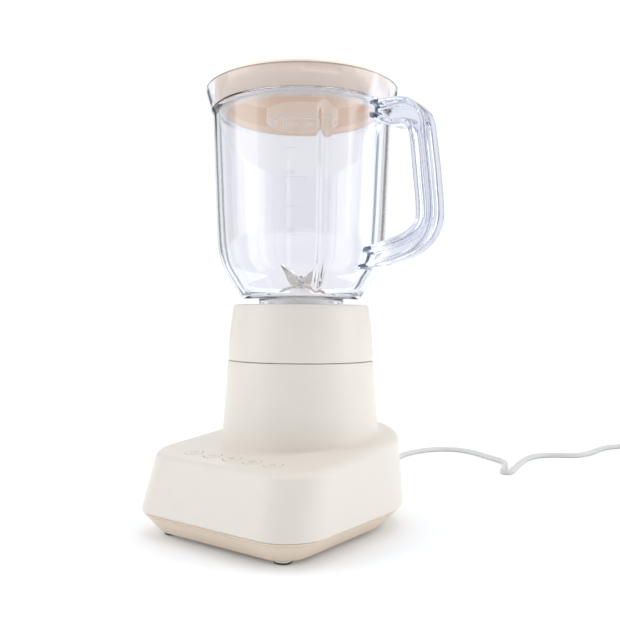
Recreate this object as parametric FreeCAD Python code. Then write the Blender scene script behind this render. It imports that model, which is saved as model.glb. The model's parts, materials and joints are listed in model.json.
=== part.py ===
"""Countertop blender: base with motor tower, clear jar with a grip, screw-on blade collar, lid with a filler cap.

Every solid is built about the drive axis, with +Z up, -Y towards the control panel and z = 0 on the table,
and is then moved so that the row origin is the middle of the object's footprint box at table level.
All sizes are millimetres.
"""
import FreeCAD, Part
import os
import math

V = FreeCAD.Vector
os.makedirs("parts", exist_ok=True)

# ------------------------------------------------------------------ driving dimensions
FOOT_H = 2.5            # feet stand this far below the bottom plate
SEAM_Z = 17.0           # joint between the bottom plate and the housing
HW_LOW, FRONT_LOW, RC_LOW = 75.0, 101.0, 30.0      # housing outline at SEAM_Z: half width, front, corner radius
SIDE_DRAFT, FRONT_DRAFT = 0.080, 0.285             # inward lean of the walls per mm of height
HW_BOT, FRONT_BOT, RC_BOT = 61.0, 89.5, 19.0       # bottom plate outline at its underside
PANEL_Z0, PANEL_K = 62.8, 0.092                    # panel plane: z = PANEL_Z0 + PANEL_K * y
WALL = 2.6              # moulded wall
TOWER_R_TOP, TOWER_R_BOT = 53.2, 57.0              # motor tower, at TOWER_Z and at z = 60
TOWER_Z = 117.6         # top of the tower wall
COLLAR_Z0, COLLAR_Z1 = 118.0, 157.7                # blade collar, bottom and top
COLLAR_R = (53.1, 51.7, 48.8)                      # collar radius at the bottom, middle and top
NECK_R = 31.0           # jar neck, outside
JAR_FLOOR = 163.7       # inside floor of the jar
RIM_Z = 313.0           # jar rim
RIM_R = 70.1
LID_TOP = 319.0
CAP_R = 23.4
CAP_TOP = 321.2
HANDLE_W = 18.0
SHAFT_R = 4.0
BTN_R, BTN_PITCH, BTN_TRAVEL, BTN_Y = 6.2, 17.5, 1.2, -73.0
CORD_Z = 28.5           # height of the cord's exit
CORD_D = 5.4            # width of the flat twin lead

# row origin: middle of the footprint box (grip to the right, panel to the front)
X_MIN, X_MAX = -HW_LOW, 111.356
Y_MIN, Y_MAX = -FRONT_LOW, HW_LOW
AX, AY = -(X_MIN + X_MAX) / 2.0, -(Y_MIN + Y_MAX) / 2.0


# ------------------------------------------------------------------ helpers
def cyl(r, z0, z1, x=0.0, y=0.0):
    return Part.makeCylinder(r, z1 - z0, V(x, y, z0))


def ring(ro, ri, z0, z1, x=0.0, y=0.0):
    return cyl(ro, z0, z1, x, y).cut(cyl(ri, z0 - 1, z1 + 1, x, y))


def box(x0, x1, y0, y1, z0, z1):
    return Part.makeBox(x1 - x0, y1 - y0, z1 - z0, V(x0, y0, z0))


def revolve(points):
    """Solid of revolution about Z from a closed list of (r, z) corners."""
    pts = [V(r, 0, z) for r, z in points]
    pts.append(pts[0])
    return Part.Face(Part.makePolygon(pts)).revolve(V(0, 0, 0), V(0, 0, 1), 360)


def revolve_edges(edges):
    return Part.Face(Part.Wire(edges)).revolve(V(0, 0, 0), V(0, 0, 1), 360)


def fuse(first, *others):
    out = first
    for o in others:
        out = out.fuse(o)
    return out.removeSplitter()


def cut(first, *others):
    out = first
    for o in others:
        out = out.cut(o)
    return out


def fillet(shape, r, pick):
    """Rounds the edges that pick(edge) accepts; leaves the shape sharp if the kernel can't."""
    edges = [e for e in shape.Edges if pick(e)]
    if not edges:
        print("no edge to fillet", r)
        return shape
    try:
        out = shape.makeFillet(r, edges)
        if out.isValid() and out.Volume > 0:
            return out
    except Exception as err:
        print("fillet", r, "failed:", err)
    return shape


def outline(hw, front, rc, rear, z):
    """Closed wire: straight front with rounded corners, half-round rear about the drive axis."""
    k = math.sqrt(0.5)
    cx, cy = hw - rc, -(front - rc)
    edges = [
        Part.Arc(V(hw, 0, z), V(rear * k, rear * k, z), V(0, rear, z)).toShape(),
        Part.Arc(V(0, rear, z), V(-rear * k, rear * k, z), V(-hw, 0, z)).toShape(),
        Part.makeLine(V(-hw, 0, z), V(-hw, cy, z)),
        Part.Arc(V(-hw, cy, z), V(-cx - rc * k, cy - rc * k, z), V(-cx, -front, z)).toShape(),
        Part.makeLine(V(-cx, -front, z), V(cx, -front, z)),
        Part.Arc(V(cx, -front, z), V(cx + rc * k, cy - rc * k, z), V(hw, cy, z)).toShape(),
        Part.makeLine(V(hw, cy, z), V(hw, 0, z)),
    ]
    return Part.Wire(edges)


def outline_at(z, inset=0.0):
    """Housing outline at height z, moved in by inset."""
    hw = HW_LOW - SIDE_DRAFT * (z - SEAM_Z) - inset
    front = FRONT_LOW - FRONT_DRAFT * (z - SEAM_Z) - inset
    return outline(hw, front, max(RC_LOW - inset, 5.0), hw, z)


def skirt_at(z, inset=0.0):
    """Bottom plate outline at height z between its underside and the seam."""
    t = (z - FOOT_H) / (SEAM_Z - FOOT_H)
    hw = HW_BOT + (HW_LOW - HW_BOT) * t - inset
    front = FRONT_BOT + (FRONT_LOW - FRONT_BOT) * t - inset
    return outline(hw, front, RC_BOT + (RC_LOW - RC_BOT) * t - min(inset, 8.0), hw, z)


def loft(w0, w1):
    return Part.makeLoft([w0, w1], True, True)


def export(name, *solids):
    """Moves the solids to the row frame and writes one STEP."""
    moved = []
    for s in solids:
        c = s.copy()
        c.translate(V(AX, AY, 0))
        moved.append(c)
    shape = moved[0] if len(moved) == 1 else Part.makeCompound(moved)
    ok = all(x.isValid() for x in moved)
    n = sum(len(x.Solids) for x in moved)
    vol = sum(x.Volume for x in moved)
    print("%-20s solids %d valid %s volume %.1f mm3" % (name, n, ok, vol))
    shape.exportStep("parts/" + name + ".step")


def tower_r(z):
    return TOWER_R_TOP + (TOWER_R_BOT - TOWER_R_TOP) * (TOWER_Z - z) / (TOWER_Z - 60.0)


# panel frame: origin on the panel surface at the middle button, local +Z along the panel's normal
TILT = math.atan(PANEL_K)
PANEL_O = V(0, BTN_Y, PANEL_Z0 + PANEL_K * BTN_Y)


def to_panel(shape):
    s = shape.copy()
    s.rotate(V(0, 0, 0), V(1, 0, 0), math.degrees(TILT))
    s.translate(PANEL_O)
    return s


def panel_cut(offset):
    """Everything above the panel plane, which is moved down by offset."""
    b = Part.makeBox(400, 400, 200, V(-200, -200, 0))
    b.rotate(V(0, 0, 0), V(1, 0, 0), math.degrees(TILT))
    b.translate(V(0, 0, PANEL_Z0 - offset / math.cos(TILT)))
    return b


BTN_X = [(i - 2) * BTN_PITCH for i in range(5)]

# ------------------------------------------------------------------ housing
outer = loft(outline_at(SEAM_Z), outline_at(82.0)).cut(panel_cut(0.0))


def on_panel_rim(e):
    m = e.valueAt((e.FirstParameter + e.LastParameter) / 2.0)
    return abs(m.z - (PANEL_Z0 + PANEL_K * m.y)) < 0.05


outer = fillet(outer, 5.0, on_panel_rim)
tower = revolve([(0, 40), (tower_r(40), 40), (TOWER_R_TOP, TOWER_Z), (0, TOWER_Z)])
body = outer.fuse(tower).removeSplitter()


def tower_foot(e):
    m = e.valueAt((e.FirstParameter + e.LastParameter) / 2.0)
    r = math.hypot(m.x, m.y)
    return abs(m.z - (PANEL_Z0 + PANEL_K * m.y)) < 0.3 and abs(r - tower_r(m.z)) < 0.3


body = fillet(body, 2.2, tower_foot)
inner = loft(outline_at(SEAM_Z, WALL), outline_at(82.0, WALL)).cut(panel_cut(WALL))
under = loft(outline_at(SEAM_Z - 2.0, WALL), outline_at(SEAM_Z, WALL))
tower_in = revolve([(0, 40), (tower_r(40) - 2.8, 40), (TOWER_R_TOP - 2.8, TOWER_Z - 3.0), (0, TOWER_Z - 3.0)])
body = body.cut(inner).cut(under).cut(tower_in)
# recessed deck: the collar's skirt drops round a low spigot
spigot = ring(44.0, 41.0, TOWER_Z - 0.5, 124.0)
body = body.fuse(spigot)
boss = ring(16.0, 11.0, 104.0, TOWER_Z)
body = body.fuse(boss).cut(cyl(11.0, 103.0, 126.0))
for k in range(4):
    a = math.radians(45 + 90 * k)
    x, y = 38.0 * math.cos(a), 38.0 * math.sin(a)
    body = body.fuse(cyl(5.0, 100.0, TOWER_Z - 2.9, x, y)).cut(cyl(1.65, 99.0, 112.0, x, y))
# button holes, panel posts and the interlock hole
for x in BTN_X:
    body = body.cut(to_panel(cyl(BTN_R + 0.3, -6.0, 3.0, x, 0)))
PCB_POSTS = [(-43.6, -9.0), (43.6, -9.0), (-43.6, 9.0), (43.6, 9.0)]
for x, y in PCB_POSTS:
    body = body.fuse(to_panel(cyl(2.6, -13.35, -WALL + 0.2, x, y))).cut(to_panel(cyl(1.1, -14.0, -6.0, x, y)))
INTERLOCK = (0.0, 33.0)
body = body.cut(cyl(2.0, 105.0, 126.0, *INTERLOCK))
for x in (-7.0, 7.0):
    body = body.fuse(cyl(2.0, 105.55, TOWER_Z - 2.9, x, INTERLOCK[1]))
# screw towers that take the bottom plate's screws
SCREWS = [(-52.0, -60.0), (52.0, -60.0), (-44.0, 42.0), (44.0, 42.0)]
for x, y in SCREWS:
    top = PANEL_Z0 + PANEL_K * y - WALL + 0.3
    body = body.fuse(cyl(4.2, 12.0, top, x, y)).cut(cyl(1.5, 11.0, 34.0, x, y))
# rear hole for the cord bushing
body = body.cut(Part.makeCylinder(6.3, 20, V(0, 62, CORD_Z), V(0, 1, 0)))
body = body.removeSplitter()
export("base_housing", body)

# ------------------------------------------------------------------ bottom plate
plate = loft(skirt_at(FOOT_H), skirt_at(SEAM_Z - 0.7, 0.25))
hollow = loft(skirt_at(FOOT_H + 2.6, 2.8), skirt_at(SEAM_Z + 3.0, 2.8 + 2.6))
plate = plate.cut(hollow)
lip = Part.Face(outline(HW_LOW - 3.1, FRONT_LOW - 3.6, RC_LOW - 3.2, HW_LOW - 3.1, SEAM_Z - 2.6)).extrude(V(0, 0, 5.0)).cut(
    Part.Face(outline(HW_LOW - 5.0, FRONT_LOW - 5.5, RC_LOW - 5.0, HW_LOW - 5.0, SEAM_Z - 3.0)).extrude(V(0, 0, 6.0)))
plate = plate.fuse(lip)
for x, y in SCREWS:
    plate = plate.fuse(cyl(4.2, FOOT_H + 0.2, 11.9, x, y)).cut(cyl(3.2, 0, 7.0, x, y)).cut(cyl(1.7, 0, 13.0, x, y))
FEET = [(-48.5, -79.5), (48.5, -79.5), (-37.5, 36.0), (37.5, 36.0)]
for x, y in FEET:
    plate = plate.cut(cyl(6.4, 0, 4.0, x, y)).cut(cyl(2.0, 0, 8.0, x, y))
for i in range(-4, 5):          # air slots under the fan
    h = math.sqrt(28.0 ** 2 - (i * 6.0) ** 2)
    plate = plate.cut(box(i * 6.0 - 1.5, i * 6.0 + 1.5, -h, h, 0, 8))
plate = plate.removeSplitter()
export("bottom_plate", plate)

feet = []
for x, y in FEET:
    f = fuse(cyl(6.0, 0.0, 3.9, x, y), cyl(1.9, 3.5, 7.5, x, y))
    f = f.cut(cyl(3.6, -1.0, 0.8, x, y))
    feet.append(f)
export("rubber_feet", *feet)

screws = []
for x, y in SCREWS:
    s = fuse(cyl(3.0, 4.6, 6.9, x, y), cyl(1.45, 6.5, 30.0, x, y))
    s = s.cut(box(x - 2.0, x + 2.0, y - 0.35, y + 0.35, 4.0, 5.6)).cut(box(x - 0.35, x + 0.35, y - 2.0, y + 2.0, 4.0, 5.6))
    screws.append(s)
export("housing_screws", *screws)

# ------------------------------------------------------------------ motor, fixed parts
stator = Part.makeBox(76, 62, 30, V(-38, -31, 52))
stator = fillet(stator, 9.0, lambda e: abs(e.Vertexes[0].Point.z - e.Vertexes[-1].Point.z) > 20)
stator = stator.cut(cyl(20.4, 50, 84))
coils = []
for side in (0, 180):
    sector = ring(29.6, 22.0, 45.0, 89.0)
    w = Part.Face(Part.makePolygon([V(0, 0, 40), V(60, -62, 40), V(60, 62, 40), V(0, 0, 40)])).extrude(V(0, 0, 60))
    sector = sector.common(w)
    sector.rotate(V(0, 0, 0), V(0, 0, 1), side)
    coils.append(sector)
slots = []
for side in (0, 180):
    sector = ring(29.8, 21.8, 45.0, 89.0)
    w = Part.Face(Part.makePolygon([V(-0.4, 0, 40), V(60, -62.8, 40), V(60, 62.8, 40), V(-0.4, 0, 40)])).extrude(V(0, 0, 60))
    s = sector.common(w)
    s.rotate(V(0, 0, 0), V(0, 0, 1), side)
    slots.append(s)
stator = cut(stator, *slots)
MB = [(0.0, -26.0), (0.0, 26.0)]
for x, y in MB:
    stator = stator.cut(cyl(2.1, 50, 84, x, y))
export("motor_stator", stator)
export("field_coils", *coils)

upper = cyl(44.0, 92.0, 95.0)
for x in (-28.0, 28.0):
    upper = upper.cut(cyl(9.0, 90, 97, x, 0))
for k in range(4):
    a = math.radians(45 + 90 * k)
    upper = upper.cut(cyl(4.5, 90, 97, 24 * math.cos(a), 24 * math.sin(a)))
for x, y in MB:
    upper = upper.fuse(cyl(5.5, 82.0, 92.5, x, y))
upper = upper.fuse(cyl(12.0, 92.0, 102.5)).cut(cyl(8.0, 94.0, 103.5)).cut(cyl(6.0, 90.0, 96.0))
for x, y in MB:
    upper = upper.cut(cyl(2.1, 80.0, 97.0, x, y))
for k in range(4):
    a = math.radians(45 + 90 * k)
    upper = upper.cut(cyl(1.8, 90.0, 97.0, 38.0 * math.cos(a), 38.0 * math.sin(a)))
export("motor_top_bracket", upper.removeSplitter())

lower = box(-11.0, 11.0, -33.0, 33.0, 25.0, 28.0)
for x, y in MB:
    lower = lower.fuse(cyl(5.0, 27.5, 52.0, x, y))
lower = lower.fuse(cyl(12.0, 24.0, 32.0)).cut(cyl(8.0, 22.0, 30.0)).cut(cyl(6.0, 20.0, 34.0))
for x, y in MB:
    lower = lower.cut(cyl(2.1, 20.0, 54.0, x, y))
export("motor_lower_bracket", lower.removeSplitter())

bolts = []
for x, y in MB:
    bolts.append(fuse(cyl(2.0, 23.0, 97.5, x, y), cyl(3.8, 22.0, 24.95, x, y), cyl(3.6, 95.05, 98.0, x, y)))
export("motor_bolts", *bolts)

damp, dscrews = [], []
for k in range(4):
    a = math.radians(45 + 90 * k)
    x, y = 38.0 * math.cos(a), 38.0 * math.sin(a)
    damp.append(ring(5.4, 1.8, 95.05, 99.95, x, y))
    dscrews.append(fuse(cyl(1.6, 91.0, 111.0, x, y), cyl(3.4, 89.0, 91.95, x, y)))
export("motor_dampers", *damp)
export("damper_screws", *dscrews)


def bearing(z0, z1):
    zm = (z0 + z1) / 2.0
    races = [ring(7.98, 6.9, z0, z1), ring(5.0, 4.05, z0, z1)]
    out = []
    groove = Part.makeTorus(5.95, 1.25, V(0, 0, zm))
    for r in races:
        out.append(r.cut(groove))
    for i in range(8):
        a = math.radians(45 * i)
        out.append(Part.makeSphere(1.15, V(5.95 * math.cos(a), 5.95 * math.sin(a), zm)))
    return out


export("upper_bearing", *bearing(96.2, 102.2))
export("lower_bearing", *bearing(24.2, 29.8))

holders, brushes = [], []
for s in (1, -1):
    h = box(12.5, 36.0, -5.0, 5.0, 35.0, 44.0).cut(box(10.0, 34.5, -3.05, 3.05, 36.6, 42.4))
    h = h.fuse(box(30.6, 36.0, -5.0, 5.0, 43.9, 51.95)).removeSplitter()
    b = box(10.3, 22.0, -3.0, 3.0, 36.7, 42.3)
    if s < 0:
        h.rotate(V(0, 0, 0), V(0, 0, 1), 180)
        b.rotate(V(0, 0, 0), V(0, 0, 1), 180)
    holders.append(h)
    brushes.append(b)
export("brush_holders", *holders)
export("carbon_brushes", *brushes)

# ------------------------------------------------------------------ rotor
shaft = fuse(cyl(SHAFT_R, 11.0, 119.0), cyl(3.2, 119.0, 131.0))
export("motor_shaft", shaft)
core = cyl(19.6, 52.0, 82.0)
for i in range(12):
    a = 30 * i
    c = box(15.5, 19.7, -1.0, 1.0, 51, 83)
    c.rotate(V(0, 0, 0), V(0, 0, 1), a)
    core = core.cut(c)
armature = fuse(core, cyl(15.0, 47.0, 52.0), cyl(15.0, 82.0, 88.0)).cut(cyl(SHAFT_R, 40, 95))
export("armature", armature)
comm = cyl(10.0, 34.0, 46.0).cut(cyl(SHAFT_R, 30, 50))
for i in range(12):
    c = box(9.2, 11, -0.35, 0.35, 33, 45)
    c.rotate(V(0, 0, 0), V(0, 0, 1), 30 * i)
    comm = comm.cut(c)
export("commutator", comm)
fan = fuse(cyl(9.0, 11.5, 20.5), ring(31.0, 8.0, 19.0, 20.5))
for i in range(11):
    b = box(8.0, 30.0, -0.7, 0.7, 12.0, 19.6)
    b.rotate(V(8, 0, 0), V(0, 0, 1), 18)
    b.rotate(V(0, 0, 0), V(0, 0, 1), i * 360.0 / 11)
    fan = fan.fuse(b)
fan = fan.removeSplitter().cut(cyl(SHAFT_R, 5, 25))
export("cooling_fan", fan)


def lobes(r, n, w, ro, z0, z1):
    out = cyl(r, z0, z1)
    for i in range(n):
        b = box(0, ro, -w / 2, w / 2, z0, z1)
        b.rotate(V(0, 0, 0), V(0, 0, 1), i * 360.0 / n)
        out = out.fuse(b)
    return out.removeSplitter()


drive = fuse(cyl(17.0, 119.0, 121.5), lobes(9.0, 6, 4.4, 14.0, 121.0, 130.5)).cut(cyl(SHAFT_R, 110, 118.99)).cut(cyl(3.2, 110, 131))
drive = drive.cut(cyl(4.0, 128.0, 132.0))
export("drive_coupling", drive)
export("coupling_nut", cyl(3.9, 128.05, 130.4).cut(cyl(3.2, 120, 132)))

# ------------------------------------------------------------------ controls
board = box(-47, 47, -13, 13, -15.0, -13.4)
for x, y in PCB_POSTS:
    board = board.cut(cyl(1.2, -16, -12, x, y))
export("control_board", to_panel(board))
export("board_screws", *[to_panel(fuse(cyl(1.05, -16.0, -8.0, x, y), cyl(2.4, -17.0, -15.02, x, y))) for x, y in PCB_POSTS])
tacts = []
for x in BTN_X:
    tacts.append(to_panel(fuse(box(x - 3.0, x + 3.0, -3.0, 3.0, -13.4, -11.2), cyl(1.6, -11.4, -10.5, x, 0))))
export("tact_switches", *tacts)
export("power_relays", to_panel(box(-9, 9, -12.0, -6.0, -31.0, -15.0)), to_panel(box(14, 32, -12.0, 10.0, -29.0, -15.0)),
       to_panel(box(-34, -16, -12.0, 10.0, -27.0, -15.0)))
for i, x in enumerate(BTN_X):
    cap = cyl(BTN_R, -3.2, 0.7, x, 0)
    cap = fillet(cap, 0.5, lambda e: e.Vertexes[0].Point.z > 0.6 and abs(e.Vertexes[0].Point.z - e.Vertexes[-1].Point.z) < 1e-6)
    cap = fuse(cap, cyl(BTN_R + 1.4, -4.0, -2.9, x, 0), cyl(2.2, -9.0, -3.9, x, 0))
    export("button_%d" % (i + 1), to_panel(cap))
pin = fuse(cyl(1.9, 108.0, 121.5, *INTERLOCK), cyl(3.4, 111.0, 112.4, *INTERLOCK))
export("interlock_pin", pin)
sx, sy = INTERLOCK
micro = box(sx - 10, sx + 10, sy - 3.2, sy + 3.2, 97.5, 105.5)
micro = micro.fuse(box(sx - 1.5, sx + 1.5, sy - 1.2, sy + 1.2, 105.0, 106.2))
export("interlock_switch", micro)

# ------------------------------------------------------------------ cord entry
bush = Part.makeCylinder(6.2, 6.0, V(0, 69.6, CORD_Z), V(0, 1, 0))
bush = bush.fuse(Part.makeCylinder(8.0, 2.2, V(0, 75.2, CORD_Z), V(0, 1, 0)))
bush = bush.fuse(Part.makeCone(6.0, 3.9, 22.0, V(0, 76.0, CORD_Z), V(0, 1, 0)))
bush = bush.fuse(Part.makeCylinder(8.0, 2.2, V(0, 67.8, CORD_Z), V(0, 1, 0)))
for k in range(5):              # flex grooves in the tail
    bush = bush.cut(Part.makeCylinder(8.0, 1.1, V(0, 80.0 + 3.4 * k, CORD_Z), V(0, 1, 0)).cut(
        Part.makeCylinder(4.6 - 0.24 * k, 1.1, V(0, 80.0 + 3.4 * k, CORD_Z), V(0, 1, 0))))
bush = bush.cut(Part.makeCylinder(CORD_D / 2 + 0.05, 60, V(0, 60, CORD_Z), V(0, 1, 0))).removeSplitter()
export("cord_bushing", bush)
export("cord_clamp", fuse(box(-12, 12, 42, 52, 5.15, 9.0), box(-12, -6, 42, 52, 9.0, 15.0), box(6, 12, 42, 52, 9.0, 15.0), box(-12, 12, 42, 52, 15.0, 17.5)))
export("terminal_block", box(-11, 11, -52, -40, 5.15, 15.0).cut(box(-8, -2, -53, -39, 9, 13)).cut(box(2, 8, -53, -39, 9, 13)))

# ------------------------------------------------------------------ collar and blade unit
r0, r1, r2 = COLLAR_R
wall_arc = Part.Arc(V(r0, 0, COLLAR_Z0), V(r1 + 0.15, 0, 137.5), V(r2 + 0.6, 0, COLLAR_Z1 - 1.6)).toShape()
lip_arc = Part.Arc(V(r2 + 0.6, 0, COLLAR_Z1 - 1.6), V(r2 - 0.1, 0, COLLAR_Z1 - 0.45), V(r2 - 1.2, 0, COLLAR_Z1)).toShape()


def chain(points):
    return [Part.makeLine(V(a[0], 0, a[1]), V(b[0], 0, b[1])) for a, b in zip(points[:-1], points[1:])]


inner_pts = [(r2 - 1.2, COLLAR_Z1), (NECK_R + 0.4, COLLAR_Z1), (NECK_R + 0.4, 146.0), (12.0, 146.0), (12.0, 141.0),
             (30.4, 141.0), (30.4, 121.8), (34.6, 121.8), (34.6, 140.0), (36.2, 141.0), (36.2, 153.6), (37.2, 154.7), (r2 - 4.2, 154.7),
             (r2 - 3.0, 153.4), (r1 - 3.0, 137.5), (r0 - 3.2, COLLAR_Z0), (r0, COLLAR_Z0)]
collar = revolve_edges([wall_arc, lip_arc] + chain(inner_pts))


def sector(ro, ri, z0, z1, a0, a1):
    out = Part.makeCylinder(ro, z1 - z0, V(0, 0, z0), V(0, 0, 1), a1 - a0).cut(cyl(ri, z0 - 1, z1 + 1))
    out.rotate(V(0, 0, 0), V(0, 0, 1), a0)
    return out


BAYONET = (60.0, 180.0, 300.0)  # middles of the three neck lugs, locked
for a in BAYONET:               # the jar turns 40 degrees to bring its lugs under the entry slots
    collar = collar.cut(sector(33.7, 31.0, 149.6, 153.6, a - 13.8, a + 57.0)).cut(sector(33.7, 31.0, 153.0, 159.0, a + 23.0, a + 57.0))
export("blade_collar", collar)

hub = revolve([(0, 141.0), (11.95, 141.0), (11.95, 146.05), (24.35, 146.05), (24.35, 161.5), (22.0, 164.6),
               (15.0, 165.6), (9.0, 166.6), (7.0, 169.6), (0, 169.6)])
hub = hub.cut(cyl(6.0, 139, 164)).cut(cyl(4.6, 160, 170))
hub = hub.cut(ring(21.6, 9.5, 140.0, 158.5).cut(ring(22.0, 9.0, 139.0, 140.5)).cut(ring(30.0, 14.5, 139.0, 146.2)).cut(ring(14.6, 9.0, 139.0, 140.0)))
export("blade_hub", hub.removeSplitter())
export("shaft_bushings", ring(5.98, 3.05, 141.0, 147.0), ring(5.98, 3.05, 156.0, 162.0))
export("shaft_seal", ring(5.9, 3.08, 162.3, 163.9))
export("jar_gasket", ring(30.4, 24.7, 146.1, 148.3))

bshaft = fuse(cyl(3.0, 134.5, 171.0), cyl(2.4, 171.0, 178.5))
export("blade_shaft", bshaft)
driven = fuse(cyl(16.2, 123.2, 138.0), cyl(6.0, 138.0, 139.6)).cut(lobes(9.5, 6, 5.2, 14.6, 120.0, 131.5)).cut(cyl(3.0, 132.0, 142.0))
export("driven_coupling", driven)


def arm_blade(z0, th, span, root_w, tip_w, rise, flat, angle):
    """Two-armed blade: flat middle, arms bent to rise at their tips."""
    mid = box(-flat, flat, -root_w / 2, root_w / 2, z0, z0 + th)
    arms = mid
    for s in (1, -1):
        p = [V(flat - 0.4, -root_w / 2, 0), V(span * 0.80, -tip_w * 0.9, 0), V(span, tip_w * 0.15, 0), V(span * 0.86, root_w / 2, 0), V(flat - 0.4, root_w / 2, 0)]
        p.append(p[0])
        f = Part.Face(Part.makePolygon(p)).extrude(V(0, 0, th))
        f.rotate(V(flat - 0.4, 0, th / 2), V(0, 1, 0), -math.degrees(math.atan2(rise, span - flat)))
        f.translate(V(0, 0, z0))
        if s < 0:
            f.rotate(V(0, 0, 0), V(0, 0, 1), 180)
        arms = arms.fuse(f)
    arms = arms.removeSplitter()
    arms.rotate(V(0, 0, 0), V(0, 0, 1), angle)
    return arms


low_blade = arm_blade(171.2, 1.4, 23.0, 9.0, 4.0, -6.0, 7.0, -13).cut(cyl(2.45, 160, 190))
up_blade = arm_blade(172.9, 1.4, 22.0, 9.5, 4.2, 13.0, 6.0, 90).cut(cyl(2.45, 160, 190))
export("lower_blade", low_blade)
export("upper_blade", up_blade)
export("blade_washers", ring(5.0, 2.45, 171.02, 171.18), ring(4.6, 2.45, 174.35, 175.0))
nut = Part.Face(Part.makePolygon([V(4.4 * math.cos(math.radians(60 * i)), 4.4 * math.sin(math.radians(60 * i)), 175.05) for i in range(7)])).extrude(V(0, 0, 2.8))
export("blade_nut", nut.cut(cyl(2.42, 170, 180)))

# ------------------------------------------------------------------ jar
outer_pts = [(46.6, 168.0), (50.8, 174.0), (54.4, 180.0), (57.2, 186.0), (59.2, 192.0), (60.5, 199.0), (61.2, 208.0),
             (61.9, 222.0), (62.6, 240.0), (63.4, 258.0), (64.1, 277.0), (64.7, 295.5)]
inner_up = [(40.0, 167.0), (43.4, 171.0), (47.0, 175.8), (50.6, 181.2), (53.4, 187.0), (55.2, 193.5), (56.4, 201.0), (57.1, 210.0),
            (57.9, 224.0), (58.7, 242.0), (59.5, 260.0), (60.3, 279.0), (60.9, 296.0)]


def spline(points, start=None, end=None):
    b = Part.BSplineCurve()
    pts = [V(r, 0, z) for r, z in points]
    b.interpolate(pts)
    return b.toShape()


edges = [Part.makeLine(V(43.4, 0, 162.6), V(46.6, 0, 168.0)), spline(outer_pts)]
edges += chain([(64.7, 295.5), (66.2, 297.6), (68.0, 303.4), (69.4, 308.4), (70.1, 311.4)])
edges.append(Part.Arc(V(70.1, 0, 311.4), V(69.6, 0, 312.7), V(68.7, 0, 313.0)).toShape())
edges += chain([(68.7, 313.0), (67.5, 312.6), (66.6, 308.4), (65.0, 302.6), (64.0, 299.0), (61.2, 299.0), (60.9, 296.0)])
edges.append(spline(inner_up[::-1]))
edges += chain([(40.0, 167.0), (36.8, 164.9), (33.0, 163.9), (25.6, JAR_FLOOR), (24.7, 163.0), (24.7, 148.5), (30.95, 148.5), (30.95, 161.6),
                (42.6, 161.6), (43.4, 162.6)])
vessel = revolve_edges(edges)


def rib():
    """Upright rib on the inside wall, tapering out at both ends."""
    out = []
    prof = [V(62.4, 0, 295.6), V(60.6, 0, 295.6), V(58.6, 0, 293.4), V(57.2, 0, 286.0), V(55.2, 0, 240.0), V(52.4, 0, 205.0), V(49.2, 0, 188.5), V(43.0, 0, 174.4),
            V(37.6, 0, 166.6), V(34.0, 0, 163.2), V(36.0, 0, 162.6), V(42.0, 0, 164.4), V(48.4, 0, 173.0), V(55.0, 0, 184.0), V(58.8, 0, 200.0), V(60.6, 0, 240.0), V(62.4, 0, 290.0)]
    f = Part.Face(Part.makePolygon(prof + [prof[0]]))
    s = f.extrude(V(0, 5.2, 0))
    s.translate(V(0, -2.6, 0))
    return s


for a in BAYONET:
    vessel = vessel.fuse(sector(33.2, 30.8, 150.0, 153.2, a - 13.0, a + 13.0))
for k in range(4):
    r = rib()
    r.rotate(V(0, 0, 0), V(0, 0, 1), 51 + 90 * k)
    vessel = vessel.fuse(r)
vessel = vessel.removeSplitter()
export("jar_vessel", vessel)

# grip: arms and upright in one, with a shallow channel on each side of the upright
outer_h = [(60.0, 296.4), (76.0, 296.6), (88.0, 295.2), (95.5, 290.6), (101.0, 284.2), (104.6, 277.0), (106.4, 266.0), (108.4, 247.0),
           (110.9, 224.0), (111.3, 215.0), (109.6, 207.0), (104.6, 199.0), (97.0, 192.6), (87.0, 188.4), (72.0, 184.6), (58.0, 182.0)]
inner_h = [(58.0, 196.0), (75.0, 199.9), (84.0, 202.3), (92.0, 205.9), (96.8, 210.6), (98.6, 216.4), (98.4, 224.0), (96.8, 238.0),
           (95.3, 252.0), (94.0, 266.0), (92.4, 272.0), (88.0, 275.6), (80.0, 276.4), (60.0, 276.4)]


def smooth(points):
    b = Part.BSplineCurve()
    b.interpolate([V(x, 0, z) for x, z in points])
    return b.toShape()


hw = HANDLE_W / 2.0
w = Part.Wire([smooth(outer_h), Part.makeLine(V(58.0, 0, 182.0), V(58.0, 0, 196.0)), smooth(inner_h),
               Part.makeLine(V(60.0, 0, 276.4), V(60.0, 0, 296.4))])
grip = Part.Face(w).extrude(V(0, HANDLE_W, 0))
grip.translate(V(0, -hw, 0))
chan_o = [(97.6, 284.0), (101.4, 276.2), (103.2, 265.4), (105.2, 246.6), (107.7, 224.0), (108.0, 215.4), (106.0, 207.6), (102.4, 201.8)]
chan_i = [(101.4, 208.6), (102.0, 216.4), (101.8, 224.4), (100.2, 238.4), (98.7, 252.4), (97.4, 266.4), (96.0, 273.0)]
cw = Part.Wire([smooth(chan_o), Part.makeLine(V(102.4, 0, 201.8), V(101.4, 0, 208.6)), smooth(chan_i), Part.makeLine(V(96.0, 0, 273.0), V(97.6, 0, 284.0))])
chan = Part.Face(cw).extrude(V(0, 6.0, 0))
c1 = chan.copy(); c1.translate(V(0, 3.0, 0))
c2 = chan.copy(); c2.translate(V(0, -9.0, 0))


grip = fillet(grip, 2.4, lambda e: abs(abs(e.valueAt(e.FirstParameter).y) - hw) < 1e-6 and abs(abs(e.valueAt(e.LastParameter).y) - hw) < 1e-6
              and e.Length > 40)
grip = grip.cut(c1).cut(c2)
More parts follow.
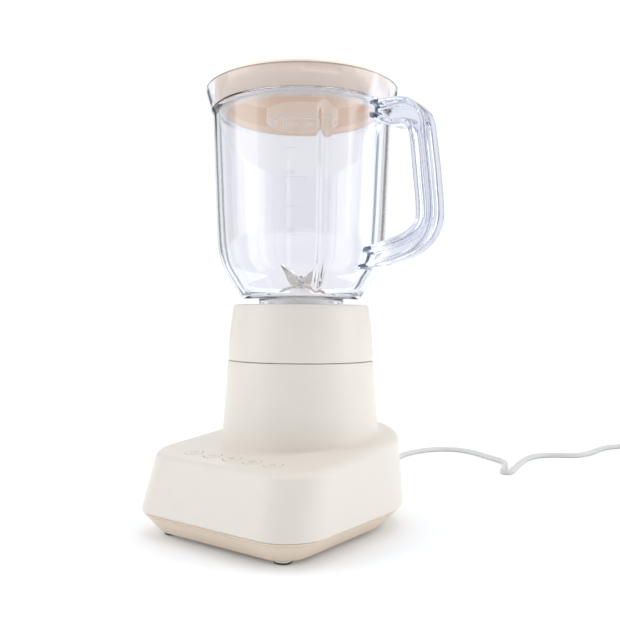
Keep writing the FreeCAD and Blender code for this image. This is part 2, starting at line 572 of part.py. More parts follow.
# the arms end on the vessel's outer wall
fill = revolve_edges([Part.makeLine(V(0, 0, 150.0), V(43.4, 0, 150.0)), Part.makeLine(V(43.4, 0, 150.0), V(46.6, 0, 168.0)), spline(outer_pts)]
                     + chain([(64.7, 295.5), (66.2, 297.6), (68.0, 303.4), (0, 303.4), (0, 150.0)]))
grip = grip.cut(fill)
export("jar_handle", grip)

# ------------------------------------------------------------------ lid and filler cap
lid = revolve([(24.2, 290.5), (26.2, 290.5), (26.2, 314.2), (30.0, 314.2), (31.4, 316.3), (50.0, 316.1), (58.6, 315.4), (60.6, 313.6), (60.6, 309.0),
               (60.5, 303.4), (60.4, 299.3), (62.2, 299.3), (62.5, 303.0), (62.8, 308.6), (63.0, 312.6), (62.7, 315.0), (61.4, 316.8), (58.0, 317.9),
               (50.0, 318.8), (29.0, LID_TOP), (28.0, 318.2), (28.0, 316.8), (24.2, 316.8)])
export("lid", lid)
insert = revolve([(52.8, 294.5), (55.4, 294.5), (55.4, 299.3), (60.1, 299.3), (60.1, 301.6), (55.4, 301.6), (55.4, 315.6), (52.8, 315.8)])
export("lid_insert", insert)
export("lid_gasket", ring(60.6, 55.5, 296.9, 299.2))
cap = revolve([(0, 318.6), (21.0, 318.6), (21.0, 289.2), (CAP_R, 289.2), (CAP_R, 317.1), (27.6, 317.1), (27.7, 318.8), (27.2, 320.2), (25.0, 320.9), (0, CAP_TOP)])
lug = box(CAP_R - 1.2, CAP_R + 0.5, -3.0, 3.0, 295.0, 297.0)
for k in range(2):
    g = lug.copy()
    g.rotate(V(0, 0, 0), V(0, 0, 1), 180 * k + 90)
    cap = cap.fuse(g)
export("filler_cap", cap.removeSplitter())

# ------------------------------------------------------------------ power cord
Z = CORD_D / 2.0
ROUTE = [(0, 84.0, CORD_Z), (0, 106.0, CORD_Z), (-2.4, 128.0, 22.0), (-7.0, 148.0, 10.0), (-15.0, 168.0, Z + 0.5), (-28.0, 190.0, Z), (-46.0, 216.0, Z), (-60.0, 244.0, Z),
         (-64.5, 272.0, Z), (-57.0, 308.0, Z), (-38.0, 328.0, Z), (-12.0, 326.0, Z), (16.0, 307.0, Z), (38.5, 294.5, Z), (47.5, 271.0, Z), (54.0, 247.5, Z),
         (58.4, 245.2, Z), (62.0, 248.6, Z), (58.6, 266.0, Z), (53.0, 293.6, Z), (48.5, 328.0, Z), (53.0, 352.0, Z), (68.0, 365.5, Z), (84.0, 374.0, Z),
         (91.0, 391.0, Z), (93.0, 417.0, Z), (95.0, 446.0, Z), (108.0, 470.0, Z), (136.0, 485.6, Z), (160.0, 485.7, Z)]
COIL_C, COIL_R, COIL_W, COIL_H = (166.0, 455.7), 27.45, 10.5, 9.6
PLUG_AT = (184.5, 483.2)


def cord_path(points):
    pts = [V(*p) for p in points]
    edges, last, radii = [], pts[0], []
    for a, b, c in zip(pts[:-2], pts[1:-1], pts[2:]):
        u, v = (a - b), (c - b)
        run = min(u.Length, v.Length)
        u.normalize(); v.normalize()
        half = (math.pi - u.getAngle(v)) / 2.0
        back = 0.45 * run
        rad = back / math.tan(half)
        radii.append((round(rad, 1), round(math.degrees(2 * half), 1)))
        s, e = b + u * back, b + v * back
        bis = (u + v); bis.normalize()
        cdist = rad / math.cos(half)
        centre = b + bis * cdist
        m = centre + (b - centre).normalize() * rad
        if (s - last).Length > 1e-6:
            edges.append(Part.makeLine(last, s))
        edges.append(Part.Arc(s, m, e).toShape())
        last = e
    edges.append(Part.makeLine(last, pts[-1]))
    print("cord radii (mm, turn deg):", radii)
    return Part.Wire(edges)


path = cord_path(ROUTE)
start = V(*ROUTE[0])
dirn = (V(*ROUTE[1]) - start).normalize()
prof = Part.Wire([Part.Circle(start, dirn, CORD_D / 2).toShape()])
tube = path.makePipeShell([prof], True, True)
tube = tube if tube.ShapeType == "Solid" else Part.Solid(tube)
ideal = math.pi * (CORD_D / 2) ** 2 * path.Length
print("cord length %.1f mm, volume %.1f against %.1f" % (path.Length, tube.Volume, ideal))
export("power_cord", tube)
coil = ring(COIL_R + COIL_W / 2, COIL_R - COIL_W / 2, 0.0, COIL_H, *COIL_C)
coil = fillet(coil, 3.6, lambda e: e.valueAt(e.FirstParameter).z > COIL_H - 0.1)
coil = coil.cut(box(120, ROUTE[-1][0], ROUTE[-1][1] - CORD_D / 2 - 0.15, ROUTE[-1][1] + 12, -1, 12))
export("cord_coil", coil)
px, py = PLUG_AT
plug = box(px, px + 6.0, py - 2.5, py + 2.5, 4.6, 9.6)
plug = plug.fuse(box(px + 4.0, px + 17.0, py - 3.5, py + 3.5, 3.5, 10.5))
px += 4.0
plug = plug.fuse(box(px + 11.0, px + 33.0, py - 11.0, py + 11.0, 0.0, 14.0))
plug = fillet(plug.removeSplitter(), 2.0, lambda e: e.Length > 13 and e.valueAt(e.FirstParameter).x > px + 10.9)
export("plug_body", plug)
pins = []
for s in (-1, 1):
    b = box(px + 33.0, px + 51.0, py + s * 6.35 - 0.75, py + s * 6.35 + 0.75, 3.9, 10.1)
    b = b.cut(Part.makeCylinder(1.5, 10, V(px + 46.0, py + s * 6.35 - 5, 7.0), V(0, 1, 0)))
    pins.append(b)
export("plug_pins", *pins)
print("axis in the row frame:", AX, AY)
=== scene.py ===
import json
import math

import bmesh
import bpy
from mathutils import Matrix, Vector


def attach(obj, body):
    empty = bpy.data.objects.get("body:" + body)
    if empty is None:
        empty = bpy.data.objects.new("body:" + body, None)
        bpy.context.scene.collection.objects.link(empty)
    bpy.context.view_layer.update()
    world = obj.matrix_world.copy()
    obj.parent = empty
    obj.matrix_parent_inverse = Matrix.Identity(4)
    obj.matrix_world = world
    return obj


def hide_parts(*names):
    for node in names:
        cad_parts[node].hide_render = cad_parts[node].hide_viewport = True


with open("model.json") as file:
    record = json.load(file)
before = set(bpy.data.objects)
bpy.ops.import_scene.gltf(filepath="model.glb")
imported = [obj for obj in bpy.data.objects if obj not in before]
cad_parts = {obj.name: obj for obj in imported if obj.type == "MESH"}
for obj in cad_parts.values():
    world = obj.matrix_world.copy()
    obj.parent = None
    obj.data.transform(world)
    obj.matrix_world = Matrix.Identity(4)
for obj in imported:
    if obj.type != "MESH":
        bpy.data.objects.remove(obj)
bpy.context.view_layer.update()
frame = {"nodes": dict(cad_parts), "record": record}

OX, OY = -18.178, 13.0          # the drive axis in the row frame, mm
TAU = 2 * math.pi
scene = bpy.context.scene


def row(x, y, z):
    """mm about the drive axis -> metres in the row frame"""
    return ((OX + x) * 0.001, (OY + y) * 0.001, z * 0.001)


# ------------------------------------------------------------------ camera
cam_data = bpy.data.cameras.new("camera")
cam = bpy.data.objects.new("camera", cam_data)
scene.collection.objects.link(cam)
cam_data.sensor_width = 36.0
cam_data.lens = 733.0 / 620.0 * 36.0
cam_data.shift_y = 8.0 / 620.0
cam_data.clip_start, cam_data.clip_end = 0.01, 30.0
cam.rotation_mode = "QUATERNION"
look = Vector((-math.sin(math.radians(36.9)), math.cos(math.radians(36.9)), 0.0))
cam.location = row(328.3, -426.3, 148.3)
q = look.to_track_quat("-Z", "Y")
cam.rotation_quaternion = q @ Matrix.Rotation(math.radians(0.36), 3, "Z").to_quaternion()
scene.camera = cam


# ------------------------------------------------------------------ mesh helpers
def make(name, verts, faces, material, body, angle=32.0, replaces=(), weighted=False):
    """A mesh object from points in mm about the drive axis, riding on a body"""
    me = bpy.data.meshes.new(name)
    me.from_pydata([row(*v) for v in verts], [], faces)
    bm = bmesh.new()
    bm.from_mesh(me)
    bmesh.ops.remove_doubles(bm, verts=bm.verts, dist=1e-7)
    bmesh.ops.recalc_face_normals(bm, faces=bm.faces)
    bm.to_mesh(me)
    bm.free()
    return dress(name, me, material, body, angle, replaces, weighted)


def dress(name, me, material, body, angle=32.0, replaces=(), weighted=False):
    me.polygons.foreach_set("use_smooth", [True] * len(me.polygons))
    me.set_sharp_from_angle(angle=math.radians(angle))
    o = bpy.data.objects.new(name, me)
    scene.collection.objects.link(o)
    me.materials.clear()
    me.materials.append(material)
    if weighted:
        m = o.modifiers.new("normals", "WEIGHTED_NORMAL")
        m.keep_sharp = True
        m.weight = 80
    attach(o, body)
    if replaces:
        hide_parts(*replaces)
    return o


def rounded(points, n=6):
    """Closed polygon of (r, z[, fillet]) with its corners rounded"""
    out = []
    m = len(points)
    for i, p in enumerate(points):
        c = Vector(p[:2])
        rad = p[2] if len(p) > 2 else 0.0
        if rad <= 0:
            out.append(tuple(c))
            continue
        a, b = Vector(points[i - 1][:2]) - c, Vector(points[(i + 1) % m][:2]) - c
        la, lb = a.length, b.length
        a.normalize(); b.normalize()
        ang = a.angle(b)
        if ang > math.pi - 0.02:
            out.append(tuple(c))
            continue
        t = min(rad / math.tan(ang / 2), 0.48 * la, 0.48 * lb)
        rad = t * math.tan(ang / 2)
        s, e = c + a * t, c + b * t
        mid = c + (a + b).normalized() * (rad / math.sin(ang / 2))
        u, v = s - mid, e - mid
        sweep = u.angle(v)
        sign = 1 if u.x * v.y - u.y * v.x > 0 else -1
        for k in range(n + 1):
            w = sign * sweep * k / n
            out.append((mid.x + u.x * math.cos(w) - u.y * math.sin(w), mid.y + u.x * math.sin(w) + u.y * math.cos(w)))
    return out


def dense(points, step=4.0, closed=True):
    out = []
    m = len(points)
    for i in range(m if closed else m - 1):
        a, b = points[i], points[(i + 1) % m]
        k = max(1, int(math.ceil(math.dist(a, b) / step)))
        if a[0] < 1e-6 and b[0] < 1e-6:
            k = 1
        for j in range(k):
            out.append((a[0] + (b[0] - a[0]) * j / k, a[1] + (b[1] - a[1]) * j / k))
    if not closed:
        out.append(points[-1])
    return out


def curve(points, per=6):
    """Catmull-Rom line through the points"""
    out = []
    n = len(points)
    dim = len(points[0])
    for i in range(n - 1):
        p0, p1, p2, p3 = points[max(i - 1, 0)], points[i], points[i + 1], points[min(i + 2, n - 1)]
        for j in range(per):
            t = j / per
            out.append(tuple(0.5 * (2 * p1[d] + (p2[d] - p0[d]) * t + (2 * p0[d] - 5 * p1[d] + 4 * p2[d] - p3[d]) * t * t
                                    + (3 * p1[d] - p0[d] - 3 * p2[d] + p3[d]) * t ** 3) for d in range(dim)))
    out.append(tuple(points[-1]))
    return out


def smooth01(a, b, x):
    t = min(max((x - a) / (b - a), 0.0), 1.0)
    return t * t * (3 - 2 * t)


def lathe_data(prof, seg=144, shift=None, angles=None, cx=0.0, cy=0.0):
    """Turned solid from a closed profile; shift(i, r, z, angle) adds to the radius"""
    angles = angles or [TAU * j / seg for j in range(seg)]
    n = len(angles)
    verts, rings = [], []
    for i, (r, z) in enumerate(prof):
        if r < 1e-6:
            rings.append([len(verts)])
            verts.append((cx, cy, z))
            continue
        ring = []
        for a in angles:
            rr = r + (shift(i, r, z, a) if shift else 0.0)
            ring.append(len(verts))
            verts.append((cx + rr * math.cos(a), cy + rr * math.sin(a), z))
        rings.append(ring)
    faces = []
    for i in range(len(prof)):
        p, q2 = rings[i], rings[(i + 1) % len(prof)]
        if len(p) == 1 and len(q2) == 1:
            continue
        for j in range(n):
            k = (j + 1) % n
            if len(p) == 1:
                faces.append((p[0], q2[j], q2[k]))
            elif len(q2) == 1:
                faces.append((p[j], q2[0], p[k]))
            else:
                faces.append((p[j], q2[j], q2[k], p[k]))
    return verts, faces


def lathe(name, points, material, body, seg=144, step=4.0, n=6, replaces=(), shift=None, angles=None, cx=0.0, cy=0.0, angle=32.0):
    prof = dense(rounded(points, n), step)
    v, f = lathe_data(prof, seg, shift, angles, cx, cy)
    return make(name, v, f, material, body, angle, replaces, True)


def loops(name, rings, material, body, replaces=(), close=True, angle=32.0, weighted=True, raw=False):
    """Skin over rings of equal point count; close joins the last ring to the first"""
    verts, faces = [], []
    n = len(rings[0])
    for r in rings:
        verts.extend(r)
    m = len(rings)
    for i in range(m if close else m - 1):
        a, b = i * n, ((i + 1) % m) * n
        for j in range(n):
            k = (j + 1) % n
            faces.append((a + j, b + j, b + k, a + k))
    if not close:
        faces.append(tuple(range(n)))
        faces.append(tuple(reversed(range((m - 1) * n, m * n))))
    if raw:
        return verts, faces
    return make(name, verts, faces, material, body, angle, replaces, weighted)


def temp(verts, faces):
    """Scratch object for a boolean"""
    me = bpy.data.meshes.new("scratch")
    me.from_pydata([row(*v) for v in verts], [], faces)
    bm = bmesh.new()
    bm.from_mesh(me)
    bmesh.ops.remove_doubles(bm, verts=bm.verts, dist=1e-7)
    bmesh.ops.recalc_face_normals(bm, faces=bm.faces)
    bm.to_mesh(me)
    bm.free()
    o = bpy.data.objects.new("scratch", me)
    scene.collection.objects.link(o)
    return o


def combine(base, tools, operation):
    """Mesh of base with the tools joined or cut away; the scratch objects go"""
    for t in tools:
        m = base.modifiers.new("b", "BOOLEAN")
        m.operation = operation
        m.solver = "EXACT"
        m.object = t
    bpy.context.view_layer.update()
    dg = bpy.context.evaluated_depsgraph_get()
    me = bpy.data.meshes.new_from_object(base.evaluated_get(dg))
    for t in tools:
        bpy.data.objects.remove(t)
    bpy.data.objects.remove(base)
    return me


# ------------------------------------------------------------------ materials
def node(nt, kind, **kw):
    n = nt.nodes.new(kind)
    for k, v in kw.items():
        setattr(n, k, v)
    return n


def surface(name, color, rough=0.45, metallic=0.0, var=0.03, grain=900.0, bump=0.25, depth=0.00003, rough_var=0.06, stretch=None,
            speck=0.0, wear=0.0, **sockets):
    """Moulded, turned or cast finish: uneven tone, uneven gloss and a fine relief, all from noise in the object's own space"""
    m = bpy.data.materials.new(name)
    m.use_nodes = True
    nt = m.node_tree
    nt.nodes.clear()
    out = node(nt, "ShaderNodeOutputMaterial")
    p = node(nt, "ShaderNodeBsdfPrincipled")
    nt.links.new(p.outputs[0], out.inputs[0])
    tc = node(nt, "ShaderNodeTexCoord")
    src = tc.outputs["Object"]
    if stretch:
        mp = node(nt, "ShaderNodeMapping")
        mp.inputs["Scale"].default_value = stretch
        nt.links.new(src, mp.inputs["Vector"])
        src = mp.outputs[0]
    tone = node(nt, "ShaderNodeTexNoise")
    tone.inputs["Scale"].default_value = grain * 0.05
    tone.inputs["Detail"].default_value = 5.0
    nt.links.new(src, tone.inputs["Vector"])
    ramp = node(nt, "ShaderNodeValToRGB")
    c = Vector(color[:3])
    ramp.color_ramp.elements[0].position, ramp.color_ramp.elements[1].position = 0.32, 0.68
    ramp.color_ramp.elements[0].color = (*[max(x * (1 - var), 0) for x in c], 1)
    ramp.color_ramp.elements[1].color = (*[min(x * (1 + var * 0.6), 1) for x in c], 1)
    nt.links.new(tone.outputs["Fac"], ramp.inputs[0])
    col = ramp.outputs[0]
    fine = node(nt, "ShaderNodeTexNoise")
    fine.inputs["Scale"].default_value = grain
    fine.inputs["Detail"].default_value = 3.0
    nt.links.new(src, fine.inputs["Vector"])
    if speck > 0:
        mix = node(nt, "ShaderNodeMix", data_type="RGBA")
        sr = node(nt, "ShaderNodeMapRange")
        sr.inputs["From Min"].default_value, sr.inputs["From Max"].default_value = 0.6, 0.75
        sr.inputs["To Max"].default_value = speck
        nt.links.new(fine.outputs["Fac"], sr.inputs["Value"])
        nt.links.new(sr.outputs[0], mix.inputs["Factor"])
        nt.links.new(col, mix.inputs["A"])
        mix.inputs["B"].default_value = (*[x * 0.55 for x in c], 1)
        col = mix.outputs["Result"]
    nt.links.new(col, p.inputs["Base Color"])
    rr = node(nt, "ShaderNodeMapRange")
    rr.inputs["From Min"].default_value, rr.inputs["From Max"].default_value = 0.3, 0.7
    rr.inputs["To Min"].default_value, rr.inputs["To Max"].default_value = max(rough - rough_var, 0.02), min(rough + rough_var, 1)
    nt.links.new(tone.outputs["Fac"], rr.inputs["Value"])
    nt.links.new(rr.outputs[0], p.inputs["Roughness"])
    b = node(nt, "ShaderNodeBump")
    b.inputs["Strength"].default_value = bump
    b.inputs["Distance"].default_value = depth
    nt.links.new(fine.outputs["Fac"], b.inputs["Height"])
    nt.links.new(b.outputs[0], p.inputs["Normal"])
    p.inputs["Metallic"].default_value = metallic
    for k, v in sockets.items():
        p.inputs[k.replace("_", " ")].default_value = v
    return m


CREAM = (0.775, 0.730, 0.664)
BEIGE = (0.755, 0.64, 0.525)
LID = (0.74, 0.62, 0.52)
# pale tone: the filler cap's own colour, and the colour mixed onto the lid as painted highlight and painted light
CAP_TONE_AND_LID_PAINTED_LIGHT = (0.84, 0.75, 0.67)


def paint_lid_light(m, color):
    """Painted light on the lid: the domed top above the flange band gets a painted highlight, and the plug below it
    gets painted light in place of light reaching it through the jar; both are mixed to a paler tone than the band
    between them
    """
    nt = m.node_tree
    p = next(n for n in nt.nodes if n.type == "BSDF_PRINCIPLED")
    src = p.inputs["Base Color"].links[0].from_socket
    tc = node(nt, "ShaderNodeTexCoord")
    sx = node(nt, "ShaderNodeSeparateXYZ")
    nt.links.new(tc.outputs["Object"], sx.inputs[0])
    hi = node(nt, "ShaderNodeMapRange", interpolation_type="SMOOTHSTEP")
    hi.inputs["From Min"].default_value, hi.inputs["From Max"].default_value = 0.3134, 0.3142
    nt.links.new(sx.outputs["Z"], hi.inputs["Value"])
    lo = node(nt, "ShaderNodeMapRange", interpolation_type="SMOOTHSTEP")
    lo.inputs["From Min"].default_value, lo.inputs["From Max"].default_value = 0.2988, 0.2996
    lo.inputs["To Min"].default_value, lo.inputs["To Max"].default_value = 1.0, 0.0
    nt.links.new(sx.outputs["Z"], lo.inputs["Value"])
    both = node(nt, "ShaderNodeMath", operation="MAXIMUM")
    nt.links.new(hi.outputs[0], both.inputs[0])
    nt.links.new(lo.outputs[0], both.inputs[1])
    mix = node(nt, "ShaderNodeMix", data_type="RGBA")
    nt.links.new(both.outputs[0], mix.inputs["Factor"])
    nt.links.new(src, mix.inputs["A"])
    mix.inputs["B"].default_value = (*color, 1)
    nt.links.new(mix.outputs["Result"], p.inputs["Base Color"])


M = {}
M["shell_plastic"] = surface("shell_plastic", CREAM, 0.36, var=0.012, grain=1500, bump=0.12, depth=0.00002, IOR=1.5)
M["button_plastic"] = surface("button_plastic", (0.765, 0.722, 0.66), 0.38, var=0.012, grain=1500, bump=0.12, depth=0.00002)
M["trim_plastic"] = surface("trim_plastic", BEIGE, 0.45, var=0.02, grain=1300, bump=0.2, depth=0.00002)
# the lid and filler cap are given a peach emission: painted light in place of light passing through the plastic,
# glowing though they are no lamps
M["lid_plastic"] = surface("lid_plastic", LID, 0.42, var=0.015, grain=1300, bump=0.15, depth=0.00002, Emission_Color=(1.0, 0.80, 0.64, 1), Emission_Strength=0.20)
M["cap_plastic"] = surface("cap_plastic", CAP_TONE_AND_LID_PAINTED_LIGHT, 0.42, var=0.015, grain=1300, bump=0.15, depth=0.00002, Emission_Color=(1.0, 0.84, 0.70, 1), Emission_Strength=0.18)
# paints a highlight on the lid's domed top and light on its plug
paint_lid_light(M["lid_plastic"], CAP_TONE_AND_LID_PAINTED_LIGHT)
M["stainless_steel"] = surface("stainless_steel", (0.74, 0.73, 0.69), 0.26, 1.0, var=0.10, grain=700, bump=0.35, depth=0.00002, stretch=(1.0, 9.0, 1.0), rough_var=0.10)
M["bearing_steel"] = surface("bearing_steel", (0.70, 0.70, 0.71), 0.14, 1.0, var=0.05, grain=900, bump=0.1, stretch=(1, 1, 8))
M["steel_fastener"] = surface("steel_fastener", (0.62, 0.61, 0.58), 0.3, 1.0, var=0.1, grain=1200, bump=0.3)
M["lamination_steel"] = surface("lamination_steel", (0.30, 0.31, 0.33), 0.42, 1.0, var=0.12, grain=300, bump=0.9, depth=0.0002, stretch=(0.3, 0.3, 9.0))
M["armature"] = surface("armature", (0.34, 0.22, 0.14), 0.4, 0.5, var=0.2, grain=260, bump=0.9, depth=0.0003, stretch=(0.4, 0.4, 8.0))
M["copper_winding"] = surface("copper_winding", (0.62, 0.26, 0.10), 0.28, 0.8, var=0.15, grain=240, bump=1.0, depth=0.0004, stretch=(1.0, 1.0, 8.0))
M["commutator_copper"] = surface("commutator_copper", (0.72, 0.38, 0.22), 0.25, 1.0, var=0.12, grain=700, bump=0.3, stretch=(1, 1, 9))
M["cast_aluminium"] = surface("cast_aluminium", (0.62, 0.63, 0.64), 0.5, 1.0, var=0.07, grain=500, bump=0.6, depth=0.0001)
M["brass"] = surface("brass", (0.78, 0.60, 0.30), 0.24, 1.0, var=0.08, grain=800, bump=0.2)
M["carbon"] = surface("carbon", (0.03, 0.03, 0.032), 0.6, var=0.3, grain=900, bump=0.6)
M["rubber"] = surface("rubber", (0.035, 0.035, 0.034), 0.65, var=0.15, grain=900, bump=0.6, depth=0.00006)
M["gasket_silicone"] = surface("gasket_silicone", (0.84, 0.76, 0.68), 0.5, var=0.03, grain=900, bump=0.3, depth=0.00004)
# the seal is given an emission: painted light, glowing though it is no lamp
M["seal_pale"] = surface("seal_pale", (0.90, 0.88, 0.86), 0.5, var=0.02, grain=900, bump=0.3, depth=0.00004, Emission_Color=(1.0, 0.93, 0.88, 1), Emission_Strength=0.12)
M["dark_plastic"] = surface("dark_plastic", (0.05, 0.05, 0.055), 0.48, var=0.15, grain=1100, bump=0.5, depth=0.00005)
# the hub is given an emission: painted light, glowing though it is no lamp, to brighten it inside the jar
M["hub_plastic"] = surface("hub_plastic", (0.88, 0.875, 0.86), 0.4, var=0.03, grain=1100, bump=0.2, Emission_Color=(1.0, 0.98, 0.95, 1), Emission_Strength=0.36)
M["circuit_board"] = surface("circuit_board", (0.03, 0.16, 0.07), 0.35, var=0.2, grain=500, bump=0.4, speck=0.6)
M["relay_plastic"] = surface("relay_plastic", (0.08, 0.11, 0.20), 0.35, var=0.1, grain=900, bump=0.3)
M["cord_pvc"] = surface("cord_pvc", (0.66, 0.66, 0.65), 0.5, var=0.02, grain=1300, bump=0.3, depth=0.00003)
# the feet are given an emission: painted light lifting them out of the shade beneath the base
M["foot_clear"] = surface("foot_clear", (0.84, 0.87, 0.80), 0.3, var=0.03, grain=900, bump=0.2, Transmission_Weight=0.25, Emission_Color=(0.80, 0.84, 0.76, 1), Emission_Strength=0.10)
M["print_grey"] = surface("print_grey", (0.52, 0.495, 0.46), 0.5, var=0.04, grain=1500, bump=0.1)


def clear(name, tint, thick, ior=1.49, rough=0.010, wave=0.03, edge=(0.16, 0.26, 0.40)):
    """Clear moulded plastic: slightly tinted, with painted shade where it is looked at edge-on, a painted bluish
    emission at the grip's root, a painted shadow line on the rim's upper outer wall, faint flow lines and changes of
    polish
    """
    m = bpy.data.materials.new(name)
    m.use_nodes = True
    nt = m.node_tree
    nt.nodes.clear()
    out = node(nt, "ShaderNodeOutputMaterial")
    p = node(nt, "ShaderNodeBsdfPrincipled")
    nt.links.new(p.outputs[0], out.inputs[0])
    p.inputs["Transmission Weight"].default_value = 1.0
    p.inputs["IOR"].default_value = ior
    tc = node(nt, "ShaderNodeTexCoord")
    tone = node(nt, "ShaderNodeTexNoise")
    tone.inputs["Scale"].default_value = 22.0
    tone.inputs["Detail"].default_value = 2.0
    nt.links.new(tc.outputs["Object"], tone.inputs["Vector"])
    ramp = node(nt, "ShaderNodeValToRGB")
    ramp.color_ramp.elements[0].color = (*tint, 1)
    ramp.color_ramp.elements[1].color = (*[min(x * 1.012, 1) for x in tint], 1)
    nt.links.new(tone.outputs["Fac"], ramp.inputs[0])
    sx = node(nt, "ShaderNodeSeparateXYZ")
    nt.links.new(tc.outputs["Object"], sx.inputs[0])
    out_x = node(nt, "ShaderNodeMapRange", interpolation_type="SMOOTHSTEP")
    out_x.inputs["From Min"].default_value, out_x.inputs["From Max"].default_value = (OX + 71.0) * 0.001, (OX + 80.0) * 0.001
    nt.links.new(sx.outputs["X"], out_x.inputs["Value"])
    dense_mix = node(nt, "ShaderNodeMix", data_type="RGBA")
    nt.links.new(out_x.outputs[0], dense_mix.inputs["Factor"])
    nt.links.new(ramp.outputs[0], dense_mix.inputs["A"])
    dense_mix.inputs["B"].default_value = (*thick, 1)
    # painted shade: the base colour is multiplied towards a dark blue where the surface is seen edge-on, cut to 0.15 of
    # that out on the grip
    lw = node(nt, "ShaderNodeLayerWeight")
    lw.inputs["Blend"].default_value = 0.5
    painted_edge_shade = node(nt, "ShaderNodeValToRGB")
    els = painted_edge_shade.color_ramp.elements
    els[0].position, els[0].color = 0.60, (1, 1, 1, 1)
    els[1].position, els[1].color = 0.97, (*edge, 1)
    mid = els.new(0.84)
    mid.color = (0.68, 0.80, 0.93, 1)
    nt.links.new(lw.outputs["Facing"], painted_edge_shade.inputs[0])
    mul = node(nt, "ShaderNodeMix", data_type="RGBA", blend_type="MULTIPLY")
    root = node(nt, "ShaderNodeMapRange", interpolation_type="SMOOTHSTEP")
    root.inputs["From Min"].default_value, root.inputs["From Max"].default_value = (OX + 54.0) * 0.001, (OX + 61.0) * 0.001
    root.inputs["To Min"].default_value, root.inputs["To Max"].default_value = 1.0, 0.15
    nt.links.new(sx.outputs["X"], root.inputs["Value"])
    nt.links.new(root.outputs[0], mul.inputs["Factor"])
    # painted light: a bluish emission on the grip's root (x 52 to 72 mm, within about 10 mm of the grip's mid-plane)
    # that lights up the dark seen there
    past = node(nt, "ShaderNodeMapRange", interpolation_type="SMOOTHSTEP")
    past.inputs["From Min"].default_value, past.inputs["From Max"].default_value = (OX + 65.0) * 0.001, (OX + 72.0) * 0.001
    past.inputs["To Min"].default_value, past.inputs["To Max"].default_value = 0.17, 0.0
    nt.links.new(sx.outputs["X"], past.inputs["Value"])
    near = node(nt, "ShaderNodeMapRange", interpolation_type="SMOOTHSTEP")
    near.inputs["From Min"].default_value, near.inputs["From Max"].default_value = (OX + 52.0) * 0.001, (OX + 57.0) * 0.001
    nt.links.new(sx.outputs["X"], near.inputs["Value"])
    painted_root_glow = node(nt, "ShaderNodeMath", operation="MULTIPLY")
    nt.links.new(past.outputs[0], painted_root_glow.inputs[0])
    nt.links.new(near.outputs[0], painted_root_glow.inputs[1])
    off = node(nt, "ShaderNodeMath", operation="SUBTRACT")
    nt.links.new(sx.outputs["Y"], off.inputs[0])
    off.inputs[1].default_value = OY * 0.001
    side = node(nt, "ShaderNodeMath", operation="ABSOLUTE")
    nt.links.new(off.outputs[0], side.inputs[0])
    within = node(nt, "ShaderNodeMapRange", interpolation_type="SMOOTHSTEP")
    within.inputs["From Min"].default_value, within.inputs["From Max"].default_value = 0.0093, 0.0112
    within.inputs["To Min"].default_value, within.inputs["To Max"].default_value = 1.0, 0.0
    nt.links.new(side.outputs[0], within.inputs["Value"])
    both = node(nt, "ShaderNodeMath", operation="MULTIPLY")
    nt.links.new(painted_root_glow.outputs[0], both.inputs[0])
    nt.links.new(within.outputs[0], both.inputs[1])
    nt.links.new(both.outputs[0], p.inputs["Emission Strength"])
    p.inputs["Emission Color"].default_value = (0.62, 0.74, 0.95, 1)
    nt.links.new(dense_mix.outputs["Result"], mul.inputs["A"])
    nt.links.new(painted_edge_shade.outputs[0], mul.inputs["B"])
    # painted shadow: a thin dark band on the rim's steep outer wall at z 311.7 to 312.7 mm, just below the lid's flange
    top = node(nt, "ShaderNodeMapRange", interpolation_type="SMOOTHSTEP")
    top.inputs["From Min"].default_value, top.inputs["From Max"].default_value = 0.3117, 0.3127
    nt.links.new(sx.outputs["Z"], top.inputs["Value"])
    painted_rim_shadow = node(nt, "ShaderNodeMix", data_type="RGBA", blend_type="MULTIPLY")
    gn = node(nt, "ShaderNodeNewGeometry")
    sn = node(nt, "ShaderNodeSeparateXYZ")
    nt.links.new(gn.outputs["Normal"], sn.inputs[0])
    an = node(nt, "ShaderNodeMath", operation="ABSOLUTE")
    nt.links.new(sn.outputs["Z"], an.inputs[0])
    wall = node(nt, "ShaderNodeMapRange", interpolation_type="SMOOTHSTEP")
    wall.inputs["From Min"].default_value, wall.inputs["From Max"].default_value = 0.55, 0.85
    wall.inputs["To Min"].default_value, wall.inputs["To Max"].default_value = 1.0, 0.0
    nt.links.new(an.outputs[0], wall.inputs["Value"])
    lf = node(nt, "ShaderNodeMath", operation="MULTIPLY")
    nt.links.new(top.outputs[0], lf.inputs[0])
    nt.links.new(wall.outputs[0], lf.inputs[1])
    nt.links.new(lf.outputs[0], painted_rim_shadow.inputs["Factor"])
    nt.links.new(mul.outputs["Result"], painted_rim_shadow.inputs["A"])
    painted_rim_shadow.inputs["B"].default_value = (0.36, 0.33, 0.30, 1)
    nt.links.new(painted_rim_shadow.outputs["Result"], p.inputs["Base Color"])
    rr = node(nt, "ShaderNodeMapRange")
    rr.inputs["To Min"].default_value, rr.inputs["To Max"].default_value = rough * 0.3, rough * 1.6
    nt.links.new(tone.outputs["Fac"], rr.inputs["Value"])
    nt.links.new(rr.outputs[0], p.inputs["Roughness"])
    b = node(nt, "ShaderNodeBump")
    b.inputs["Strength"].default_value = wave
    b.inputs["Distance"].default_value = 0.0004
    nt.links.new(tone.outputs["Fac"], b.inputs["Height"])
    nt.links.new(b.outputs[0], p.inputs["Normal"])
    return m


M["jar_clear"] = clear("jar_clear", (0.895, 0.90, 0.935), (0.66, 0.69, 0.79))
M["frosted"] = surface("frosted", (0.93, 0.93, 0.94), 0.55, var=0.02, grain=1800, bump=0.5, depth=0.00004, Transmission_Weight=0.55, IOR=1.3)

